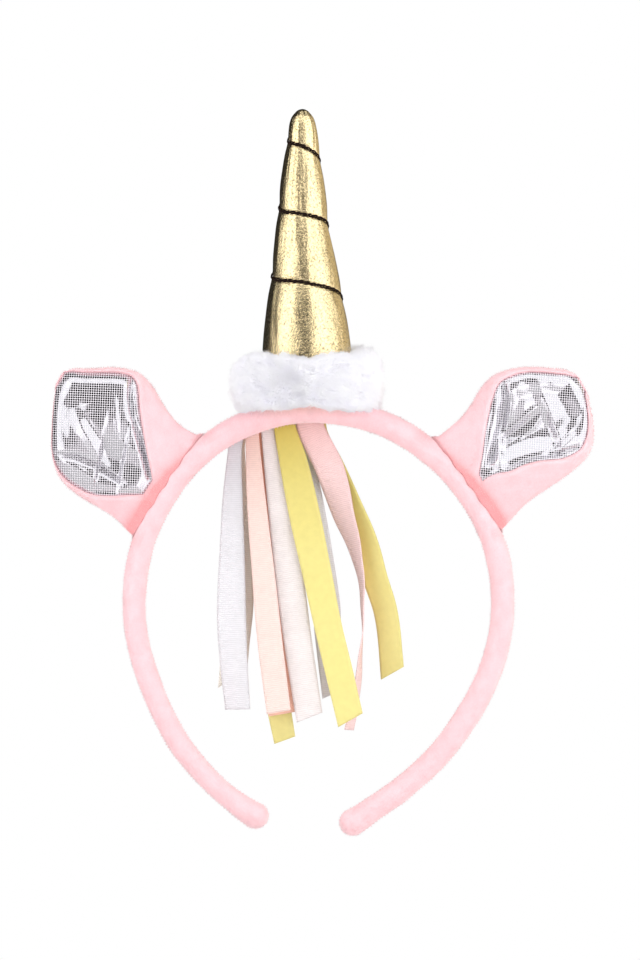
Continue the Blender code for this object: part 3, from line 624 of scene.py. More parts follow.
def fur_finish(settings):
    """Faux fur: acrylic pile, white, brushed into locks."""
    # Painted shade: cooler patches as wide as a lock keep the white pile from reading as one flat surface.
    # Its fibres pass light on to each other, which a render's few bounces can't follow: hence the glow,
    # painted light from an emission
    finish, shader, add = new_material("acrylic_fur", {
        "Roughness": 0.8,
        "IOR": 1.5,
        "Specular IOR Level": 0.15,
        "Emission Color": (0.97, 0.96, 1.0, 1),
        "Emission Strength": 0.17,
    })
    place = add("TexCoord").outputs["Object"]
    locks = add("TexNoise", {"Vector": place, "Scale": 1 / (3.5 * MM), "Detail": 2})
    share = add("MapRange", {"Value": locks, "From Min": 0.35, "From Max": 0.65})
    colours = {6: (*settings.shade, 1), 7: (*settings.colour, 1)}
    colour = add("Mix", {"Factor": share, **colours}, data_type="RGBA").outputs[2]
    wear(shader, base_color=colour)
    return finish


# How each weave shines, how its threads show, how much painted shade deepens its dye where it is gathered,
# and how it waves. Satin's threads are a tenth of a millimetre wide, so they are drawn three times as coarse
# to show
Weave = namedtuple(
    "Weave", "roughness specular sheen streak thread bands shade relief deepening wave wavelength"
)
WEAVES = {
    "grosgrain": Weave(0.72, 0.3, 0.0, 0.0, 1.0, "Y", 0.09, 0.6, 1.5, 0.12 * MM, 17 * MM),
    "satin": Weave(0.34, 0.6, 0.15, 0.4, 0.45, "X", 0.03, 0.25, 2.2, 0.32 * MM, 27 * MM),
}


def ribbon_finish(ribbon, settings):
    """Woven polyester ribbon: grosgrain with ribs across it, or satin with long smooth floats."""
    # Grosgrain shows fine cross ribs and stays matt; satin is smooth and takes a soft streak of light
    weave, dye = WEAVES[ribbon.weave], getattr(settings, ribbon.tint)
    finish, shader, add = new_material(f"{ribbon.tint}_{ribbon.weave}", {
        "IOR": 1.55,
        "Specular IOR Level": weave.specular,
        "Roughness": weave.roughness,
        "Sheen Weight": weave.sheen,
        "Anisotropic": weave.streak,
    })
    cloth = add("UVMap", uv_map="cloth").outputs["UV"]
    threads = {"Scale": WAVE_REPEAT / (settings.rib * weave.thread), "Distortion": 0.4, "Detail": 1}
    ribs = add("TexWave", {"Vector": cloth, **threads}, bands_direction=weave.bands).outputs["Fac"]
    slubs = add("TexNoise", {"Vector": cloth, "Scale": 1 / (2.5 * MM), "Detail": 3})
    shade = add("MapRange", {"Value": ribs, "To Min": 1 - weave.shade, "To Max": 1.0})
    uneven = add("MapRange", {"Value": slubs, **NOISE_RANGE, "To Min": 0.96, "To Max": 1.02})
    both = add("Math", {0: shade, 1: uneven}, operation="MULTIPLY")
    # Painted shade: the dye is deepened towards the gathered top, standing in for the band's shade and the
    # light bouncing from ribbon to ribbon there
    gather = add("Attribute", attribute_name="gather").outputs["Fac"]
    deep = [share**weave.deepening for share in dye]
    tint = add("Mix", {"Factor": gather, 6: (*dye, 1), 7: (*deep, 1)}, data_type="RGBA").outputs[2]
    dyed = add("VectorMath", {0: tint, "Scale": both}, operation="SCALE")
    relief = add("Bump", {"Height": ribs, "Strength": weave.relief, "Distance": 0.12 * MM})
    wear(shader, base_color=dyed, normal=relief)
    return finish


# Padded band


CROWN_ANGLE = 90 + math.degrees(math.asin(ARCH_SIDE_SHIFT / ARCH_RADIUS))
CROWN_RADIUS = ARCH_RADIUS * smooth(ARCH, "radius", CROWN_ANGLE)
CROWN_THICKNESS = BAND_THICKNESS * smooth(ARCH, "thickness", CROWN_ANGLE)
ARCH_CENTRE = Vector((
    ARCH_SIDE_SHIFT,
    0,
    CROWN_THICKNESS / 2 - CROWN_RADIUS * math.sin(math.radians(CROWN_ANGLE)),
))
HORN_FOOT = Vector((HORN_SHIFT, 0, CROWN_THICKNESS - HORN_SEAT))


def arch_point(angle):
    """Middle of the band at an angle round the arch's centre, 0 at the +X side and 90 at the top."""
    radius = ARCH_RADIUS * smooth(ARCH, "radius", angle)
    return ARCH_CENTRE + radius * direction(angle)


def arch_angle_at(x):
    """Angle at which the upper part of the band's middle line passes over x."""
    low, high = 40.0, 150.0
    for _ in range(40):
        middle = (low + high) / 2
        if arch_point(middle).x > x:
            low = middle
        else:
            high = middle
    return middle


def arch_outward(angle):
    """Direction square to the band's middle line, away from the arch's inside."""
    first, last = ARCH[0].angle, ARCH[-1].angle
    along = arch_point(min(angle + 0.5, last)) - arch_point(max(angle - 0.5, first))
    return BACK.cross(along).normalized()


def half_band(angle):
    return BAND_THICKNESS * smooth(ARCH, "thickness", angle) / 2


# How far pieces keep off the band
BAND_GAP = 0.1 * MM

# The band's middle, outward direction and half thickness at every degree, read by clear_of_band
BAND_LINE = {
    angle: (arch_point(angle), arch_outward(angle), half_band(angle))
    for angle in range(ARCH[0].angle, ARCH[-1].angle + 1)
}


def clear_of_band(place, gap):
    """The place, moved straight out of the band where it lies in it or within the gap of its outer side."""
    from_centre = place - ARCH_CENTRE
    angle = math.degrees(math.atan2(from_centre.z, from_centre.x))
    if angle < -90:
        angle += 360
    angle = min(max(angle, ARCH[0].angle), ARCH[-1].angle)
    low = min(int(math.floor(angle)), ARCH[-1].angle - 1)
    share = angle - low
    before, after = BAND_LINE[low], BAND_LINE[low + 1]
    middle = before[0].lerp(after[0], share)
    outward = before[1].lerp(after[1], share).normalized()
    half_thickness = before[2] + (after[2] - before[2]) * share + gap
    half_depth = BAND_DEPTH / 2 + gap
    out = (place - middle).dot(outward)
    level = 1 - (place.y / half_depth) ** 2
    if level <= 0:
        return place
    surface = half_thickness * math.sqrt(level)
    if out >= surface or out < -half_thickness:
        return place
    return place + outward * (surface - out)


# Where the ears' roots begin and end on the arch, and how far they pull at it, in degrees
EAR_ROOT_EDGES = (27.0, 62.0, 121.0, 155.0)
EAR_PULL_REACH = 2.2


def near_ear(angle):
    """How close an angle on the arch is to an ear's root, 1 at its edges."""
    return max(math.exp(-((angle - edge) / EAR_PULL_REACH) ** 2) for edge in EAR_ROOT_EDGES)


# The sleeve's seam inside the band: its spread in radians, how far it is drawn in and how deep the painted
# shade in it is
SEAM_SPREAD, SEAM_DRAW, SEAM_SHADE = 0.16, 0.09, 0.6
# How far an ear's stitches squeeze the band, and how deep the painted shade is there
EAR_SQUEEZE, EAR_SHADE = 0.03, 0.25
# Sizes of the swells and of the small unevenness on them
SWELL_SIZE, RIPPLE_SIZE = 14 * MM, 5 * MM


def build_band(plush, finish):
    """The foam-padded arch in its plush sleeve, with the sleeve's seam along the inner side."""
    first, last = ARCH[0].angle, ARCH[-1].angle
    stations = [(angle, 1.0, 0.0) for angle in spread(first, last, BAND_STATIONS)]
    caps = [(math.cos(turn), math.sin(turn)) for turn in spread(0, math.pi / 2, BAND_CAP_RINGS + 2)[1:-1]]
    stations = [(first, s, -o) for s, o in reversed(caps)] + stations + [(last, s, o) for s, o in caps]
    rings, painted_crease_shades = [], []
    for angle, shrink, onward in stations:
        middle, outward = arch_point(angle), arch_outward(angle)
        ahead = outward.cross(BACK)
        half = half_band(angle)
        middle = middle + ahead * half * onward
        squeeze = 1 - EAR_SQUEEZE * near_ear(angle)
        ring = []
        for turn in spread(0, 2 * math.pi, BAND_SIDES + 1)[:-1]:
            side = outward * math.cos(turn) * half + BACK * math.sin(turn) * BAND_DEPTH / 2
            seam = math.exp(-((math.pi - turn) / SEAM_SPREAD) ** 2) * shrink
            place = middle + side * shrink * squeeze * (1 - SEAM_DRAW * seam)
            swell = noise.noise(place / SWELL_SIZE)
            swell += 0.5 * noise.noise(place / RIPPLE_SIZE + Vector((7, 0, 0)))
            ring.append(place + side.normalized() * plush.unevenness * swell * shrink)
            # Painted shade in the inner seam and, on the outward half, beside the ears' roots
            painted_crease_shades.append(min(1.0, SEAM_SHADE * seam + EAR_SHADE * near_ear(angle) * (math.cos(turn) > 0)))
        rings.append(ring)
    ends = [
        arch_point(end) + arch_outward(end).cross(BACK) * sign * BAND_THICKNESS * row.thickness / 2
        for end, sign, row in ((first, -1, ARCH[0]), (last, 1, ARCH[-1]))
    ]
    mesh = skin("band_plush", rings, ends[0], ends[1])
    shade_values(mesh, "painted_crease_shade", painted_crease_shades + [0.1, 0.1])
    band = add_piece("band_plush", mesh, finish, "pink_plush", "padded_band")
    build_fuzz("band_fuzz", mesh, set(), BAND_FIBRES, 7, plush, finish, "padded_band")


# How far a fibre leans, as the spread of a draw along each axis
FIBRE_LEAN = 0.45


def stray(chance, spread_by):
    """A random draw along each axis."""
    return Vector([chance.gauss(0, spread_by) for _ in "xyz"])


def build_fuzz(name, mesh, covered, count, seed, plush, finish, node):
    """Loose fibres that stand out of the pile, over all of a plush mesh but its covered vertices."""
    chance = random.Random(seed)
    shown = [face for face in mesh.polygons if not covered.intersection(face.vertices)]
    verts, faces = [], []
    for face in chance.choices(shown, [face.area for face in shown], k=count):
        shares = [chance.random() + 0.01 for _ in face.vertices]
        corners = (mesh.vertices[v].co * share for v, share in zip(face.vertices, shares))
        root = sum(corners, Vector()) / sum(shares)
        way = (face.normal + stray(chance, FIBRE_LEAN)).normalized()
        side = way.cross(stray(chance, 1)).normalized()
        length = plush.fuzz * chance.uniform(0.35, 1.0)
        add_hair(verts, faces, root - way * 0.1 * MM, root + way * length, side, plush.fibre)
    add_piece(name, mesh_from(name, verts, faces), finish, "pink_plush", node)


# Ears and their foil panels


def ear_frame(ear):
    """Root, axis and upward direction of an ear, as long as the ear's own sizes."""
    axis = direction(ear.axis_angle) * EAR_LENGTH * ear.length
    return arch_point(ear.root_angle), axis, axis.cross(BACK).normalized() * EAR_WIDTH * ear.side


def ear_place(ear, along, across):
    """Place in the ear's middle plane at shares along it and across it, rounding off at its tip."""
    root, axis, upward = ear_frame(ear)
    last = ear.outline[-1].along
    lower = smooth(ear.outline, "lower", along)
    upper = smooth(ear.outline, "upper", along)
    if along > last:
        t = (along - last) / (1 - last)
        middle = (lower + upper) / 2
        round_off = math.sqrt(max(0.0, 1 - t * t))
        middle += (ear.tip - middle) * t * 0.3
        lower, upper = (middle + (edge - middle) * round_off for edge in (lower, upper))
    rise = lower + (upper - lower) * across
    if along < 0.02:
        around = math.degrees(rise * EAR_WIDTH / (root - ARCH_CENTRE).length)
        return arch_point(ear.root_angle + ear.side * around)
    return root + axis * along + upward * rise


def ear_swell(along, across):
    """Half thickness of the stuffed ear at a place on it."""
    puff = EAR_DEPTH / 2 * smooth(EAR_PUFF, "depth", along)
    last = EAR_PUFF[-1].along
    if along > last:
        puff *= math.sqrt(max(0.0, 1 - ((along - last) / (1 - last)) ** 2))
    edge = abs(2 * across - 1)
    return puff * max(0.0, 1 - edge**EAR_ROUNDNESS) ** (1 / EAR_ROUNDNESS)


def off_line(x, z, line):
    """Distance from a point to a line of points, and how near the line's ends it falls, 0 at an end."""
    nearest, inner, run = math.inf, 0.0, 0.0
    total = sum(math.dist(a, b) for a, b in zip(line, line[1:]))
    for (ax, az), (bx, bz) in zip(line, line[1:]):
        dx, dz = bx - ax, bz - az
        length = math.hypot(dx, dz)
        share = min(max(((x - ax) * dx + (z - az) * dz) / length**2, 0), 1)
        away = math.hypot(x - ax - dx * share, z - az - dz * share)
        if away < nearest:
            nearest = away
            here = run + length * share
            inner = min(here, total - here) / total
        run += length
    return nearest, inner


# The folds fade out this many of their widths away, and fine crinkles, in millimetres, lie over them
FOLD_REACH = 4
CRINKLE_DEPTH, CRINKLE_SIZE = 0.10, 3.5


def fold_depth(ear, place):
    """How far the foil's folds push the ear's front in at a place, in metres."""
    x, z = place.x / MM, place.z / MM
    pushed = 0.0
    for fold in ear.folds:
        away, inner = off_line(x, z, fold.line)
        if away > FOLD_REACH * fold.width:
            continue
        fade = ease(inner, -0.12, 0.16)
        pushed += fold.depth * fade * math.exp(-((away / fold.width) ** 1.5))
    pushed += CRINKLE_DEPTH * noise.noise(Vector((x / CRINKLE_SIZE, 0, z / CRINKLE_SIZE)))
    return pushed * MM


# How far in the foil's edge rolls over, and between which distances in from it the panel hollows
ROLL_SPREAD = 3.2 * MM
HOLLOW_FROM, HOLLOW_TO = 2.0 * MM, 10.0 * MM


def panel_form(ear, inside):
    """How far the foil falls away and hollows at a distance in from its edge, in metres."""
    roll = ear.roll * math.exp(-((max(inside, 0) / ROLL_SPREAD) ** 2))
    return MM * (roll + ear.hollow * ease(inside, HOLLOW_FROM, HOLLOW_TO))


def panel_edges(ear, along):
    return smooth(ear.panel, "lower", along), smooth(ear.panel, "upper", along)


def ear_width(ear, along):
    return EAR_WIDTH * (
        smooth(ear.outline, "upper", along) - smooth(ear.outline, "lower", along)
    )


def inside_panel(ear, along, across):
    """Distance in from the panel's edge in metres, negative outside it."""
    low, high = panel_edges(ear, along)
    width = ear_width(ear, along)
    length = EAR_LENGTH * ear.length
    return min(
        (across - low) * width,
        (high - across) * width,
        (along - ear.panel[0].along) * length,
        (ear.panel[-1].along - along) * length,
    )


# How far the plush lies under the foil, and how it swells beside the foil's edge
PANEL_SINK = 1.2 * MM
LIP_HEIGHT, LIP_OFF, LIP_SPREAD = 0.5 * MM, 1.8 * MM, 1.4 * MM
# Gathers at an ear's root: their depth, how far they run along the ear, and radians of them across it
GATHER_DEPTH, GATHER_REACH, GATHER_TURNS = 0.10, 0.13, 34
# How far the painted shade spreads at the foil's edge and at the root
EDGE_SHADE_SPREAD, ROOT_SHADE_SPREAD = 0.7 * MM, 1.6 * MM


def build_ear(name, ear, plush, finish):
    """A stuffed plush ear, sunk under its foil panel and gathered where it is sewn to the band."""
    alongs = spread(0.0, 0.97, EAR_STATIONS) + [0.98, 0.988, 0.994, 0.998]
    rings, painted_crease_shades, covered = [], [], set()
    for along in alongs:
        ring = []
        for k in range(2 * EAR_SIDES):
            front = k < EAR_SIDES
            turn = math.pi * (k % EAR_SIDES) / EAR_SIDES
            across = (1 - math.cos(turn)) / 2 if front else (1 + math.cos(turn)) / 2
            place = ear_place(ear, along, across)
            depth = ear_swell(along, across) * (-1 if front else 1)
            painted_crease_shade = 0.0
            if front and along > 0.02:
                inside = inside_panel(ear, along, across)
                sunk = ease(inside, -0.6 * MM, 0.7 * MM)
                depth += sunk * (PANEL_SINK + fold_depth(ear, place) + panel_form(ear, inside))
                depth -= LIP_HEIGHT * math.exp(-(((inside + LIP_OFF) / LIP_SPREAD) ** 2))
                # Painted shade along the foil's edge
                painted_crease_shade = 0.06 * math.exp(-((inside / EDGE_SHADE_SPREAD) ** 2))
            # Gathers run out from the seam along the band and fade
            gather = GATHER_DEPTH * math.exp(-along / GATHER_REACH)
            depth *= 1 - gather * (0.5 + 0.5 * math.sin(across * GATHER_TURNS + 3 * along * ear.side))
            place = place + BACK * depth
            swell = noise.noise(place / (11 * MM) + Vector((3, 5, 1)))
            place += BACK * math.copysign(plush.unevenness * 1.6 * swell, depth) * min(1, along * 8)
            out = clear_of_band(place, BAND_GAP)
            # Painted shade at the ear's root and where the band pushes the ear out
            seam = math.exp(-(((out - place).length) / (2.0 * MM)) ** 2) if out != place else 1.0
            near = (out - ARCH_CENTRE).length - (arch_point(ear.root_angle) - ARCH_CENTRE).length
            at_root = 0.9 * math.exp(-max(0.0, near - BAND_THICKNESS / 2) / ROOT_SHADE_SPREAD)
            painted_crease_shade = max(painted_crease_shade, at_root, 0.5 * (1 - seam))
            ring.append(out)
            if front and inside_panel(ear, along, across) > -0.6 * MM:
                covered.add(len(painted_crease_shades))
            painted_crease_shades.append(min(1.0, painted_crease_shade))
        rings.append(ring)
    tip = ear_place(ear, 1.0, 0.5)
    start = clear_of_band(ear_place(ear, 0.0, 0.5), BAND_GAP)
    mesh = skin(f"ear_{name}_plush", rings, start, tip)
    shade_values(mesh, "painted_crease_shade", painted_crease_shades + [1.0, 0.0])
    piece = add_piece(f"ear_{name}_plush", mesh, finish, "pink_plush", f"ear_{name}")
    build_fuzz(f"ear_{name}_fuzz", mesh, covered, EAR_FIBRES, 8, plush, finish, f"ear_{name}")


# How far the foil's edge is stitched down into the plush, and how far in from the edge
STITCH_DEPTH, STITCH_SPREAD = 0.9 * MM, 0.8 * MM


def build_lining(name, ear, foil, finish):
    """The foil panel on an ear's front as one thin cloth, with the folds that its stitching pulls in."""
    # The cloth reaches a little past the panel's line, into the plush
    margin = -0.1 * MM
    length = EAR_LENGTH * ear.length
    first, last = ear.panel[0].along + margin / length, ear.panel[-1].along - margin / length
    fronts, backs, flat = [], [], []
    turn = math.radians(ear.grain)
    for along in spread(first, last, PANEL_ROWS):
        low, high = panel_edges(ear, along)
        width = ear_width(ear, along)
        for across in spread(low + margin / width, high - margin / width, PANEL_COLUMNS):
            place = ear_place(ear, along, across)
            inside = inside_panel(ear, along, across)
            depth = fold_depth(ear, place) * ease(inside, 0.0, 2.0 * MM) - ear_swell(along, across)
            depth += panel_form(ear, inside)
            depth += STITCH_DEPTH * math.exp(-((max(inside, 0) / STITCH_SPREAD) ** 1.4))
            fronts.append(place + BACK * depth)
            backs.append(place + BACK * (depth + foil.thickness))
            flat.append((
                place.x * math.cos(turn) + place.z * math.sin(turn),
                place.z * math.cos(turn) - place.x * math.sin(turn),
            ))
    faces = []
    rows, columns = PANEL_ROWS, PANEL_COLUMNS
    count = rows * columns
    for i in range(rows - 1):
        for k in range(columns - 1):
            a = i * columns + k
            quad = (a, a + 1, a + columns + 1, a + columns)
            faces.append(quad)
            faces.append(tuple(v + count for v in reversed(quad)))
    rim = [k for k in range(columns)]
    rim += [i * columns + columns - 1 for i in range(1, rows)]
    rim += [(rows - 1) * columns + k for k in range(columns - 2, -1, -1)]
    rim += [i * columns for i in range(rows - 2, 0, -1)]
    for a, b in zip(rim, rim[1:] + rim[:1]):
        faces.append((a, b, b + count, a + count))
    mesh = mesh_from(f"ear_{name}_foil", fronts + backs, faces)
    lay_out(mesh, flat + flat)
    piece = add_piece(f"ear_{name}_foil", mesh, finish, "silver_foil", f"ear_{name}_lining")


# Horn, cord and fur collar


def horn_axis(share):
    """Middle of the horn at a share of its height."""
    lean = -HORN_LEAN * smooth(HORN, "lean", share)
    return HORN_FOOT + Vector((lean, 0, HORN_HEIGHT * share))


def cord_height(turns):
    return HORN_HEIGHT * smooth(WINDING, "height", turns)


def off_cord(turn, height):
    """Distance up the horn from a place on it to the nearest pass of the cord, below it negative."""
    first, last = WINDING[0].turns, WINDING[-1].turns
    passes = [height - cord_height(turn + k) for k in range(5) if first <= turn + k <= last]
    return min(passes, key=abs, default=math.inf)


def horn_point(turn, share, proud=0.0):
    """Point on the horn at a share of a turn from the +X side to the back, with the cord pulled in."""
    angle = 2 * math.pi * turn
    outward = Vector((math.cos(angle), math.sin(angle), 0))
    radius = HORN_BASE_RADIUS * smooth(HORN, "radius", share)
    off = off_cord(turn % 1, HORN_HEIGHT * share)
    if off < math.inf:
        radius -= CORD_BITE * math.exp(-((off / (CORD_GROOVE_WIDTH / 2)) ** 2))
        radius -= CORD_CUT * math.exp(-((off / CORD_CUT_WIDTH) ** 2)) * (proud == 0)
    if proud == 0:
        # The stuffing is a little lumpy, and the cloth puckers on it
        place = Vector((math.cos(angle) * 3, math.sin(angle) * 3, share * 3.2))
        radius += HORN_LUMPS * noise.noise(place) + HORN_PUCKERS * noise.noise(place * 3.1)
    return horn_axis(share) + outward * (radius + proud)


def build_horn(finish):
    """The stuffed horn, sewn to a blunt tip and pulled in by its cord."""
    last = HORN[-1].height
    turns = spread(0, 1, HORN_SIDES + 1)[:-1]
    rings = [
        [clear_of_band(horn_point(turn, share), BAND_GAP) for turn in turns]
        for share in spread(0, last, HORN_RINGS)
    ]
    centre = horn_axis(last)
    for t in (0.4, 0.75, 0.93):
        lift = UP * HORN_HEIGHT * (1 - last) * t
        rings.append([
            centre + (horn_point(turn, last) - centre) * math.sqrt(1 - t) + lift for turn in turns
        ])
    mesh = skin("horn_lame", rings, clear_of_band(horn_axis(0), BAND_GAP), horn_axis(1.0))
    horn = add_piece("horn_lame", mesh, finish, "gold_lame", "horn")


def build_cord(horn, finish):
    """The cord as two plies twisted round each other, following its winding."""
    first, last = WINDING[0].turns, WINDING[-1].turns
    ply = CORD_RADIUS * 0.5
    line = []
    for turns in spread(first, last, CORD_STEPS):
        share = cord_height(turns) / HORN_HEIGHT
        line.append(horn_point(turns, share, -CORD_SINK))
    verts, faces = [], []
    sides = PLY_SIDES
    twist = [0.0]
    for a, b in zip(line, line[1:]):
        twist.append(twist[-1] + 2 * math.pi * (b - a).length / horn.lay)
    for start in (0.0, math.pi):
        base = len(verts)
        for i, place in enumerate(line):
            along = (line[min(i + 1, len(line) - 1)] - line[max(i - 1, 0)]).normalized()
            out = (place - horn_axis((place.z - HORN_FOOT.z) / HORN_HEIGHT)).normalized()
            across = along.cross(out).normalized()
            out = across.cross(along)
            taper = min(1.0, (min(i, len(line) - 1 - i) + 1) / 5)
            lay = twist[i] + start
            middle = place + (out * math.cos(lay) + across * math.sin(lay)) * ply * 1.15
            for k in range(sides):
                turn = 2 * math.pi * k / sides
                verts.append(middle + (out * math.cos(turn) + across * math.sin(turn)) * ply * taper)
        faces += tube_faces(base, len(line), sides)
        for row in (0, len(line) - 1):
            faces.append([base + row * sides + k for k in range(sides)])
    mesh = mesh_from("horn_twine", verts, faces)
    add_piece("horn_twine", mesh, finish, "black_cord", "spiral_cord")


def turn_from(turn, at):
    """Signed angle from one direction to another, within half a turn."""
    return (turn - at + 180) % 360 - 180


def collar_surface(turn, level, inset):
    """Place and outward way on the collar, at an angle round the horn and one round the ring's section."""
    round_out = Vector((math.cos(math.radians(turn)), math.sin(math.radians(turn)), 0))
    lift = COLLAR_BRUSH_LIFT * math.exp(-((turn_from(turn, COLLAR_BRUSH_AT) / COLLAR_BRUSH_SPREAD) ** 2))
    # Tied at the front, the ring is drawn in there and swells on both sides of the tie
    drawn = math.exp(-((turn_from(turn, COLLAR_TIE_AT) / COLLAR_TIE_SPREAD) ** 2))
    turn_in, turn_up = math.cos(math.radians(level)), math.sin(math.radians(level))
    square = COLLAR_SQUARENESS
    size = (abs(turn_in) ** square + abs(turn_up) ** square) ** (-1 / square)
    half_width = (COLLAR_WIDTH / 2 - inset) * (1 - 0.22 * drawn)
    half_height = (COLLAR_HEIGHT + lift) / 2 - inset * 0.8
    middle = HORN_BASE_RADIUS + COLLAR_GAP + COLLAR_WIDTH / 2 - inset * 0.75 - COLLAR_TIE_DRAW * drawn
    across = middle + half_width * turn_in * size
    height = (COLLAR_HEIGHT + lift) / 2 - COLLAR_DROP + half_height * turn_up * size * (1 - 0.10 * drawn)
    outward = round_out * turn_in / half_width + UP * turn_up / half_height
    return HORN_FOOT + round_out * across + UP * height, outward.normalized()


# How far the backing, the roots of the locks and those of the hairs lie under the collar's surface
CORE_INSET, LOCK_INSET, HAIR_INSET = 3.2 * MM, 2.8 * MM, 2.9 * MM
# Gaps that the backing and the hairs keep to the band
CORE_GAP, HAIR_GAP = 0.2 * MM, 0.25 * MM


def build_collar_core(finish):
    """The knitted backing of the fur, a ring round the horn's foot."""
    rings = []
    levels = spread(-180, 180, CORE_SIDES + 1)[:-1]
    for turn in spread(0, 360, CORE_RINGS + 1)[:-1]:
        ring = [collar_surface(turn, level, CORE_INSET)[0] for level in levels]
        rings.append([clear_of_band(place, CORE_GAP) for place in ring])
    mesh = skin("collar_backing", rings, closed=True)
    core = add_piece("collar_backing", mesh, finish, "white_fur", "fur_collar")


# The pile grows between these angles round the ring's section. It stands up above the first of the next
# two, is shorter above the second, for it lies on the horn, and shorter still below the third, on the band
PILE_FROM, PILE_TO = -118, 138
BRUSHED_UP_FROM, SHORT_FROM, CUT_BELOW = 60, 40, -70
# Spread of a lock's hairs round the horn and round the section in degrees, and how far each hair strays
LOCK_TURN_SPREAD, LOCK_LEVEL_SPREAD, HAIR_STRAY = 4.2, 11, 0.14


def build_fur(name, turn_range, seed, collar, finish):
    """One half of the pile as tapered closed hairs that lean together into locks."""
    chance = random.Random(seed)
    verts, faces = [], []
    low, high = turn_range
    for _ in range(FUR_HAIRS // HAIRS_PER_LOCK):
        turn = chance.uniform(low, high)
        level = chance.uniform(PILE_FROM, PILE_TO)
        root, out = collar_surface(turn, level, LOCK_INSET)
        lean = Vector((chance.gauss(0, 0.36), chance.gauss(0, 0.36), chance.gauss(0.0, 0.32)))
        from_tie = turn_from(turn, COLLAR_TIE_AT)
        side = Vector((-math.sin(math.radians(turn)), math.cos(math.radians(turn)), 0))
        parting = math.copysign(math.exp(-((from_tie / COLLAR_PARTING_SPREAD) ** 2)), from_tie)
        lean += side * 0.75 * parting
        if level > BRUSHED_UP_FROM:
            lean += UP * 0.35
        way = (out + lean).normalized()
        # Brushing leaves the pile standing higher in clumps
        clump = noise.noise(root / (5 * MM))
        length = collar.pile * (0.95 + 0.45 * clump) * chance.uniform(0.85, 1.1)
        if level > SHORT_FROM:
            length *= 0.78
        if level < CUT_BELOW:
            length *= 0.62
        lock_tip = root + way * length
        for _ in range(HAIRS_PER_LOCK):
            hair_turn = turn + chance.gauss(0, LOCK_TURN_SPREAD)
            hair_level = level + chance.gauss(0, LOCK_LEVEL_SPREAD)
            start, hair_out = collar_surface(hair_turn, hair_level, HAIR_INSET)
            free = start + (hair_out + lean + stray(chance, HAIR_STRAY)).normalized() * length
            end = free.lerp(lock_tip, chance.uniform(0.4, 0.85))
            end = start + (end - start) * chance.uniform(0.75, 1.0)
            start, end = clear_of_band(start, HAIR_GAP), clear_of_band(end, HAIR_GAP)
            across = hair_out.cross(stray(chance, 1)).normalized()
            add_hair(verts, faces, start, end, across, collar.hair)
    add_piece(name, mesh_from(name, verts, faces), finish, "white_fur", "fur_collar")


# Ribbon tails

SLOTS = {
    **dict.fromkeys(("white", "painted_light_cream", "blush"), "white_ribbon"),
    **dict.fromkeys(("peach", "coral", "pink"), "pink_ribbon"),
    "yellow": "yellow_ribbon",
}


def ribbon_line(ribbon):
    """Middle line of a ribbon as rows of a place, a turn and a width, from its seam to its end."""
    sewn = arch_point(arch_angle_at(ribbon.root * RIBBON_FAN))
    root_down = -(sewn.z + RIBBON_TOP) / RIBBON_REACH
    first = ribbon.path[0]
    rows = (PathRow(root_down, ribbon.root, first.turn, first.width), *ribbon.path)
    front = BAND_DEPTH / 2 + RIBBON_GAP + RIBBON_HALF
    line = []
    for down in spread(rows[0].down, rows[-1].down, RIBBON_STEPS + 1):
        fallen = (down - rows[0].down) / (1 - rows[0].down)
        layer = RIBBON_LAYER + RIBBON_LAYER_SPREAD * fallen
        turn = math.radians(smooth(rows, "turn", down))
        width = RIBBON_WIDTH * smooth(rows, "width", down)
        place = Vector((
            RIBBON_FAN * smooth(rows, "out", down),
            front + ribbon.layer * layer + width / 2 * abs(math.sin(turn)),
            -RIBBON_REACH * down,
        ))
        line.append((place, turn, width))
    return line


def build_ribbon(name, ribbon, settings, finish):
    """A ribbon as a thin woven strip, bowed across where it is gathered, that ends in its cut."""
    weave = WEAVES[ribbon.weave]
    line = ribbon_line(ribbon)
    rings, flat, painted_shade_shares = [], [], []
    run = 0.0
    length = sum((b[0] - a[0]).length for a, b in zip(line, line[1:]))
    for i, (place, turn, width) in enumerate(line):
        before, after = line[max(i - 1, 0)][0], line[min(i + 1, RIBBON_STEPS)][0]
        along = (after - before).normalized()
        sideways = along.cross(BACK).normalized()
        if sideways.x < 0:
            sideways.negate()
        across = sideways * math.cos(turn) + BACK * math.sin(turn)
        face = along.cross(across).normalized()
        if i:
            run += (place - line[i - 1][0]).length
        slant = ribbon.cut / 2 * ease(run / length, 0.9, 1.0)
        # The cloth that the gathering takes up bows the strip, within the room between two ribbons
        bow = RIBBON_BOW * min(1.0, 1.6 * max(0.0, 1.02 - width / RIBBON_WIDTH))
        wave = weave.wave * math.sin(run / weave.wavelength * 2 * math.pi + ribbon.root * 9)
        wave *= ease(run / length, 0.05, 0.3)
        front_row, back_row, flat_row = [], [], []
        for share in spread(-1, 1, RIBBON_COLUMNS + 1):
            middle = place + across * share * width / 2 + along * slant * share
            middle += face * (bow * (1 - share * share) + wave)
            front_row.append(middle + face * settings.thickness / 2)
            back_row.append(middle - face * settings.thickness / 2)
            flat_row.append((share * RIBBON_WIDTH / 2, run + slant * share))
        rings.append(front_row + back_row[::-1])
        flat += flat_row + flat_row[::-1]
        # Painted shade, strongest at the seam
        painted_shade_shares += [math.exp(-run / RIBBON_SHADE_FADE)] * len(rings[-1])
    mesh = skin(name, rings)
    lay_out(mesh, flat)
    shade_values(mesh, "gather", painted_shade_shares)
    piece = add_piece(f"tail_{name}", mesh, finish, SLOTS[ribbon.tint], name)


# Studio


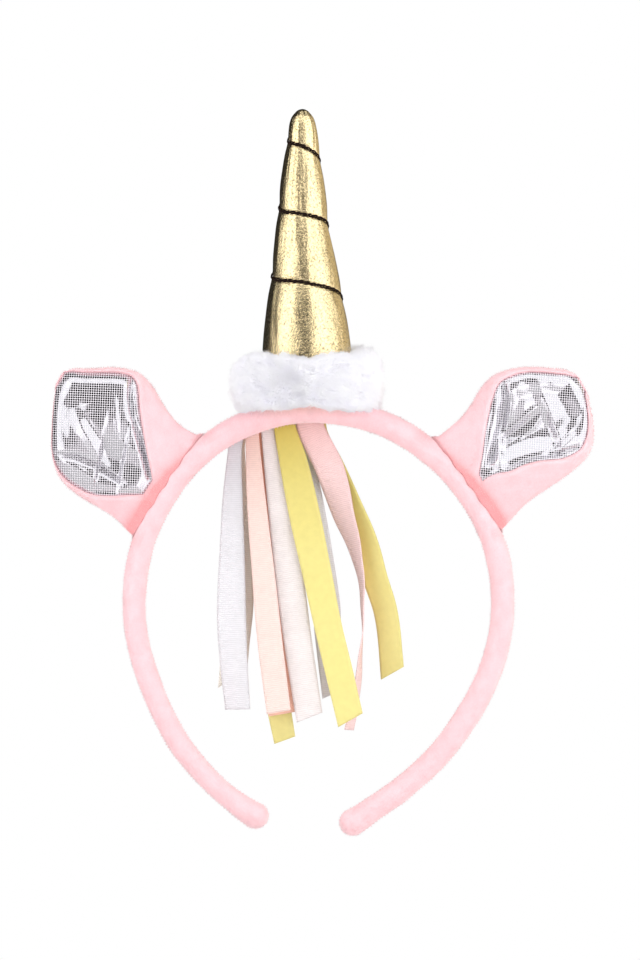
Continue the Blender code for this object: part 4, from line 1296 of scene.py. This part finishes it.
# A rectangular light that faces the headband: azimuth from its front towards +X and elevation in degrees,
# distance and size in metres, and share of the studio's radiance. One that isn't glossy isn't mirrored
Softbox = namedtuple("Softbox", "azimuth elevation distance size share colour glossy")
WHITE_LIGHT = (1.0, 1.0, 1.0)
WARM_LIGHT = (1.0, 0.86, 0.60)
SOFTBOXES = {
    "softbox_left": Softbox(-63, 5, 1.2, (1.35, 1.7), 1.0, WHITE_LIGHT, True),
    "softbox_right": Softbox(55, 5, 1.2, (1.95, 1.7), 1.0, WHITE_LIGHT, True),
    "softbox_top": Softbox(0, 62, 1.2, (3.0, 0.8), 1.0, WHITE_LIGHT, True),
    "kicker_right": Softbox(130, 5, 1.4, (1.7, 1.7), 0.36, WARM_LIGHT, True),
    "front_fill": Softbox(0, 0, 1.7, (1.2, 1.2), 0.58, WHITE_LIGHT, False),
    "back_fill": Softbox(200, 30, 1.6, (1.6, 1.2), 0.9, WHITE_LIGHT, False),
}
# Point that the softboxes face
AIM = Vector((0, 0, -20 * MM))
# The room's brightness above and below, and the rise of the view between which one turns into the other
ROOM_DARK, ROOM_LOW = 0.03, 0.8
ROOM_FADE = {"From Min": -0.30, "From Max": -0.12}


def add_softbox(name, box, key):
    light = bpy.data.lights.new(name, "AREA")
    light.shape = "RECTANGLE"
    light.size, light.size_y = box.size
    light.energy = key * box.share * math.pi * box.size[0] * box.size[1]
    light.color = box.colour
    lamp = add_object(name, light)
    turn, rise = math.radians(box.azimuth), math.radians(box.elevation)
    toward = Vector((math.sin(turn) * math.cos(rise), -math.cos(turn) * math.cos(rise), math.sin(rise)))
    lamp.location = toward * box.distance + AIM
    lamp.rotation_euler = toward.to_track_quat("Z", "Y").to_euler()
    lamp.visible_camera = False
    lamp.visible_glossy = box.glossy


def light_room():
    """A room dark above and pale below round the softboxes, which the camera sees as a white sweep."""
    world = bpy.data.worlds.new("studio")
    bpy.context.scene.world = world
    world.use_nodes = True
    world.node_tree.nodes.clear()
    add = functools.partial(add_node, world.node_tree)
    seen = add("LightPath").outputs["Is Camera Ray"]
    toward = add("TexCoord").outputs["Generated"]
    rise = add("SeparateXYZ", {0: toward}).outputs["Z"]
    upper = add("MapRange", {"Value": rise, **ROOM_FADE})
    colours = {6: (ROOM_LOW, ROOM_LOW * 0.94, ROOM_LOW * 0.97, 1), 7: (ROOM_DARK, ROOM_DARK, ROOM_DARK, 1)}
    shade = add("Mix", {"Factor": upper, **colours}, data_type="RGBA").outputs[2]
    room = add("Background", {"Color": shade})
    sweep = add("Background", {"Color": (1, 1, 1, 1)})
    both = add("MixShader", {0: seen, 1: room, 2: sweep})
    add("OutputWorld", {"Surface": both})


def floor_finish():
    """Matt white paper that fades out at the floor's rim."""
    paper = {"Roughness": 0.9, "Base Color": (0.86, 0.86, 0.86, 1)}
    finish, shader, add = new_material("paper_floor", paper)
    place = add("TexCoord").outputs["Object"]
    off = add("VectorMath", {0: place}, operation="LENGTH").outputs["Value"]
    wear(shader, alpha=add("MapRange", {"Value": off, "From Min": 1.1, "From Max": 0.5}))
    return finish


def build_floor(drop):
    """A round paper floor well below the headband."""
    mesh = bpy.data.meshes.new("paper_floor")
    bm = bmesh.new()
    bmesh.ops.create_circle(bm, cap_ends=True, radius=1.15, segments=96)
    bm.to_mesh(mesh)
    bm.free()
    floor = add_object("paper_floor", mesh)
    floor.location = (0, 0, -drop)
    mesh.materials.append(floor_finish())


def place_camera():
    camera = bpy.data.cameras.new("camera")
    camera.lens = CAMERA_LENS
    camera.sensor_width = 36
    camera.clip_start, camera.clip_end = 0.01, 50
    made = add_object("camera", camera)
    made.location = CAMERA_PLACE
    made.rotation_euler = (math.radians(90), 0, 0)
    bpy.context.scene.camera = made


# Operators, one for each group of pieces and one for the stage


class MakeBand(bpy.types.Operator):
    """Makes the padded plush band"""

    bl_idname = "headband.make_band"
    bl_label = "Padded band"

    def execute(self, context):
        plush = context.scene.headband.plush
        build_band(plush, plush_finish(plush))
        return {"FINISHED"}


class MakeEars(bpy.types.Operator):
    """Makes the two stuffed ears"""

    bl_idname = "headband.make_ears"
    bl_label = "Plush ears"

    def execute(self, context):
        plush = context.scene.headband.plush
        finish = plush_finish(plush)
        for name, ear in EARS.items():
            build_ear(name, ear, plush, finish)
        return {"FINISHED"}


class MakeLinings(bpy.types.Operator):
    """Makes the folded foil panels on the ears"""

    bl_idname = "headband.make_linings"
    bl_label = "Foil panels"

    def execute(self, context):
        foil = context.scene.headband.foil
        finish = foil_finish(foil)
        for name, ear in EARS.items():
            build_lining(name, ear, foil, finish)
        return {"FINISHED"}


class MakeHorn(bpy.types.Operator):
    """Makes the stuffed gold horn"""

    bl_idname = "headband.make_horn"
    bl_label = "Gold horn"

    def execute(self, context):
        build_horn(lame_finish(context.scene.headband.horn))
        return {"FINISHED"}


class MakeCord(bpy.types.Operator):
    """Makes the twisted cord round the horn"""

    bl_idname = "headband.make_cord"
    bl_label = "Twisted cord"

    def execute(self, context):
        horn = context.scene.headband.horn
        build_cord(horn, twine_finish(horn))
        return {"FINISHED"}


class MakeCollar(bpy.types.Operator):
    """Makes the fur collar round the horn's foot"""

    bl_idname = "headband.make_collar"
    bl_label = "Fur collar"

    def execute(self, context):
        collar = context.scene.headband.collar
        finish = fur_finish(collar)
        build_collar_core(finish)
        build_fur("fur_front", (180, 360), 5, collar, finish)
        build_fur("fur_back", (0, 180), 6, collar, finish)
        return {"FINISHED"}


class MakeRibbons(bpy.types.Operator):
    """Makes the ten ribbon tails"""

    bl_idname = "headband.make_ribbons"
    bl_label = "Ribbon tails"

    def execute(self, context):
        settings = context.scene.headband.ribbon
        finishes = {}
        for name, ribbon in RIBBONS.items():
            if ribbon.tint not in finishes:
                finishes[ribbon.tint] = ribbon_finish(ribbon, settings)
            build_ribbon(name, ribbon, settings, finishes[ribbon.tint])
        return {"FINISHED"}


class SetStage(bpy.types.Operator):
    """Sets the camera, the softboxes, the room and the floor"""

    bl_idname = "headband.set_stage"
    bl_label = "Studio"

    def execute(self, context):
        studio = context.scene.headband.studio
        # The plain view keeps the cloths' own colours and the sweep's pure white
        context.scene.view_settings.view_transform = "Standard"
        place_camera()
        light_room()
        build_floor(studio.floor_drop)
        for name, box in SOFTBOXES.items():
            add_softbox(name, box, studio.key)
        return {"FINISHED"}


class HeadbandPanel(bpy.types.Panel):
    """Lists the headband's pieces with their sizes and colours"""

    bl_idname = "VIEW3D_PT_headband"
    bl_label = "Headband"
    bl_space_type = "VIEW_3D"
    bl_region_type = "UI"
    bl_category = "Headband"

    def draw(self, context):
        headband = context.scene.headband
        for group, steps in PANEL_BOXES:
            box = self.layout.box()
            settings = getattr(headband, group)
            for setting in settings.bl_rna.properties:
                if not setting.is_readonly and setting.identifier != "name":
                    box.prop(settings, setting.identifier)
            for step in steps:
                box.operator(step.bl_idname)


PANEL_BOXES = (
    ("plush", (MakeBand, MakeEars)),
    ("foil", (MakeLinings,)),
    ("horn", (MakeHorn, MakeCord)),
    ("collar", (MakeCollar,)),
    ("ribbon", (MakeRibbons,)),
    ("studio", (SetStage,)),
)
CLASSES = (
    PlushSettings,
    FoilSettings,
    HornSettings,
    CollarSettings,
    RibbonSettings,
    StudioSettings,
    HeadbandSettings,
    MakeBand,
    MakeEars,
    MakeLinings,
    MakeHorn,
    MakeCord,
    MakeCollar,
    MakeRibbons,
    SetStage,
    HeadbandPanel,
)


def register():
    for kind in CLASSES:
        bpy.utils.register_class(kind)
    bpy.types.Scene.headband = PointerProperty(type=HeadbandSettings)


def unregister():
    del bpy.types.Scene.headband
    for kind in reversed(CLASSES):
        bpy.utils.unregister_class(kind)


def main():
    register()
    bpy.ops.headband.set_stage()
    bpy.ops.headband.make_band()
    bpy.ops.headband.make_ears()
    bpy.ops.headband.make_linings()
    bpy.ops.headband.make_horn()
    bpy.ops.headband.make_cord()
    bpy.ops.headband.make_collar()
    bpy.ops.headband.make_ribbons()


if __name__ == "__main__":
    main()
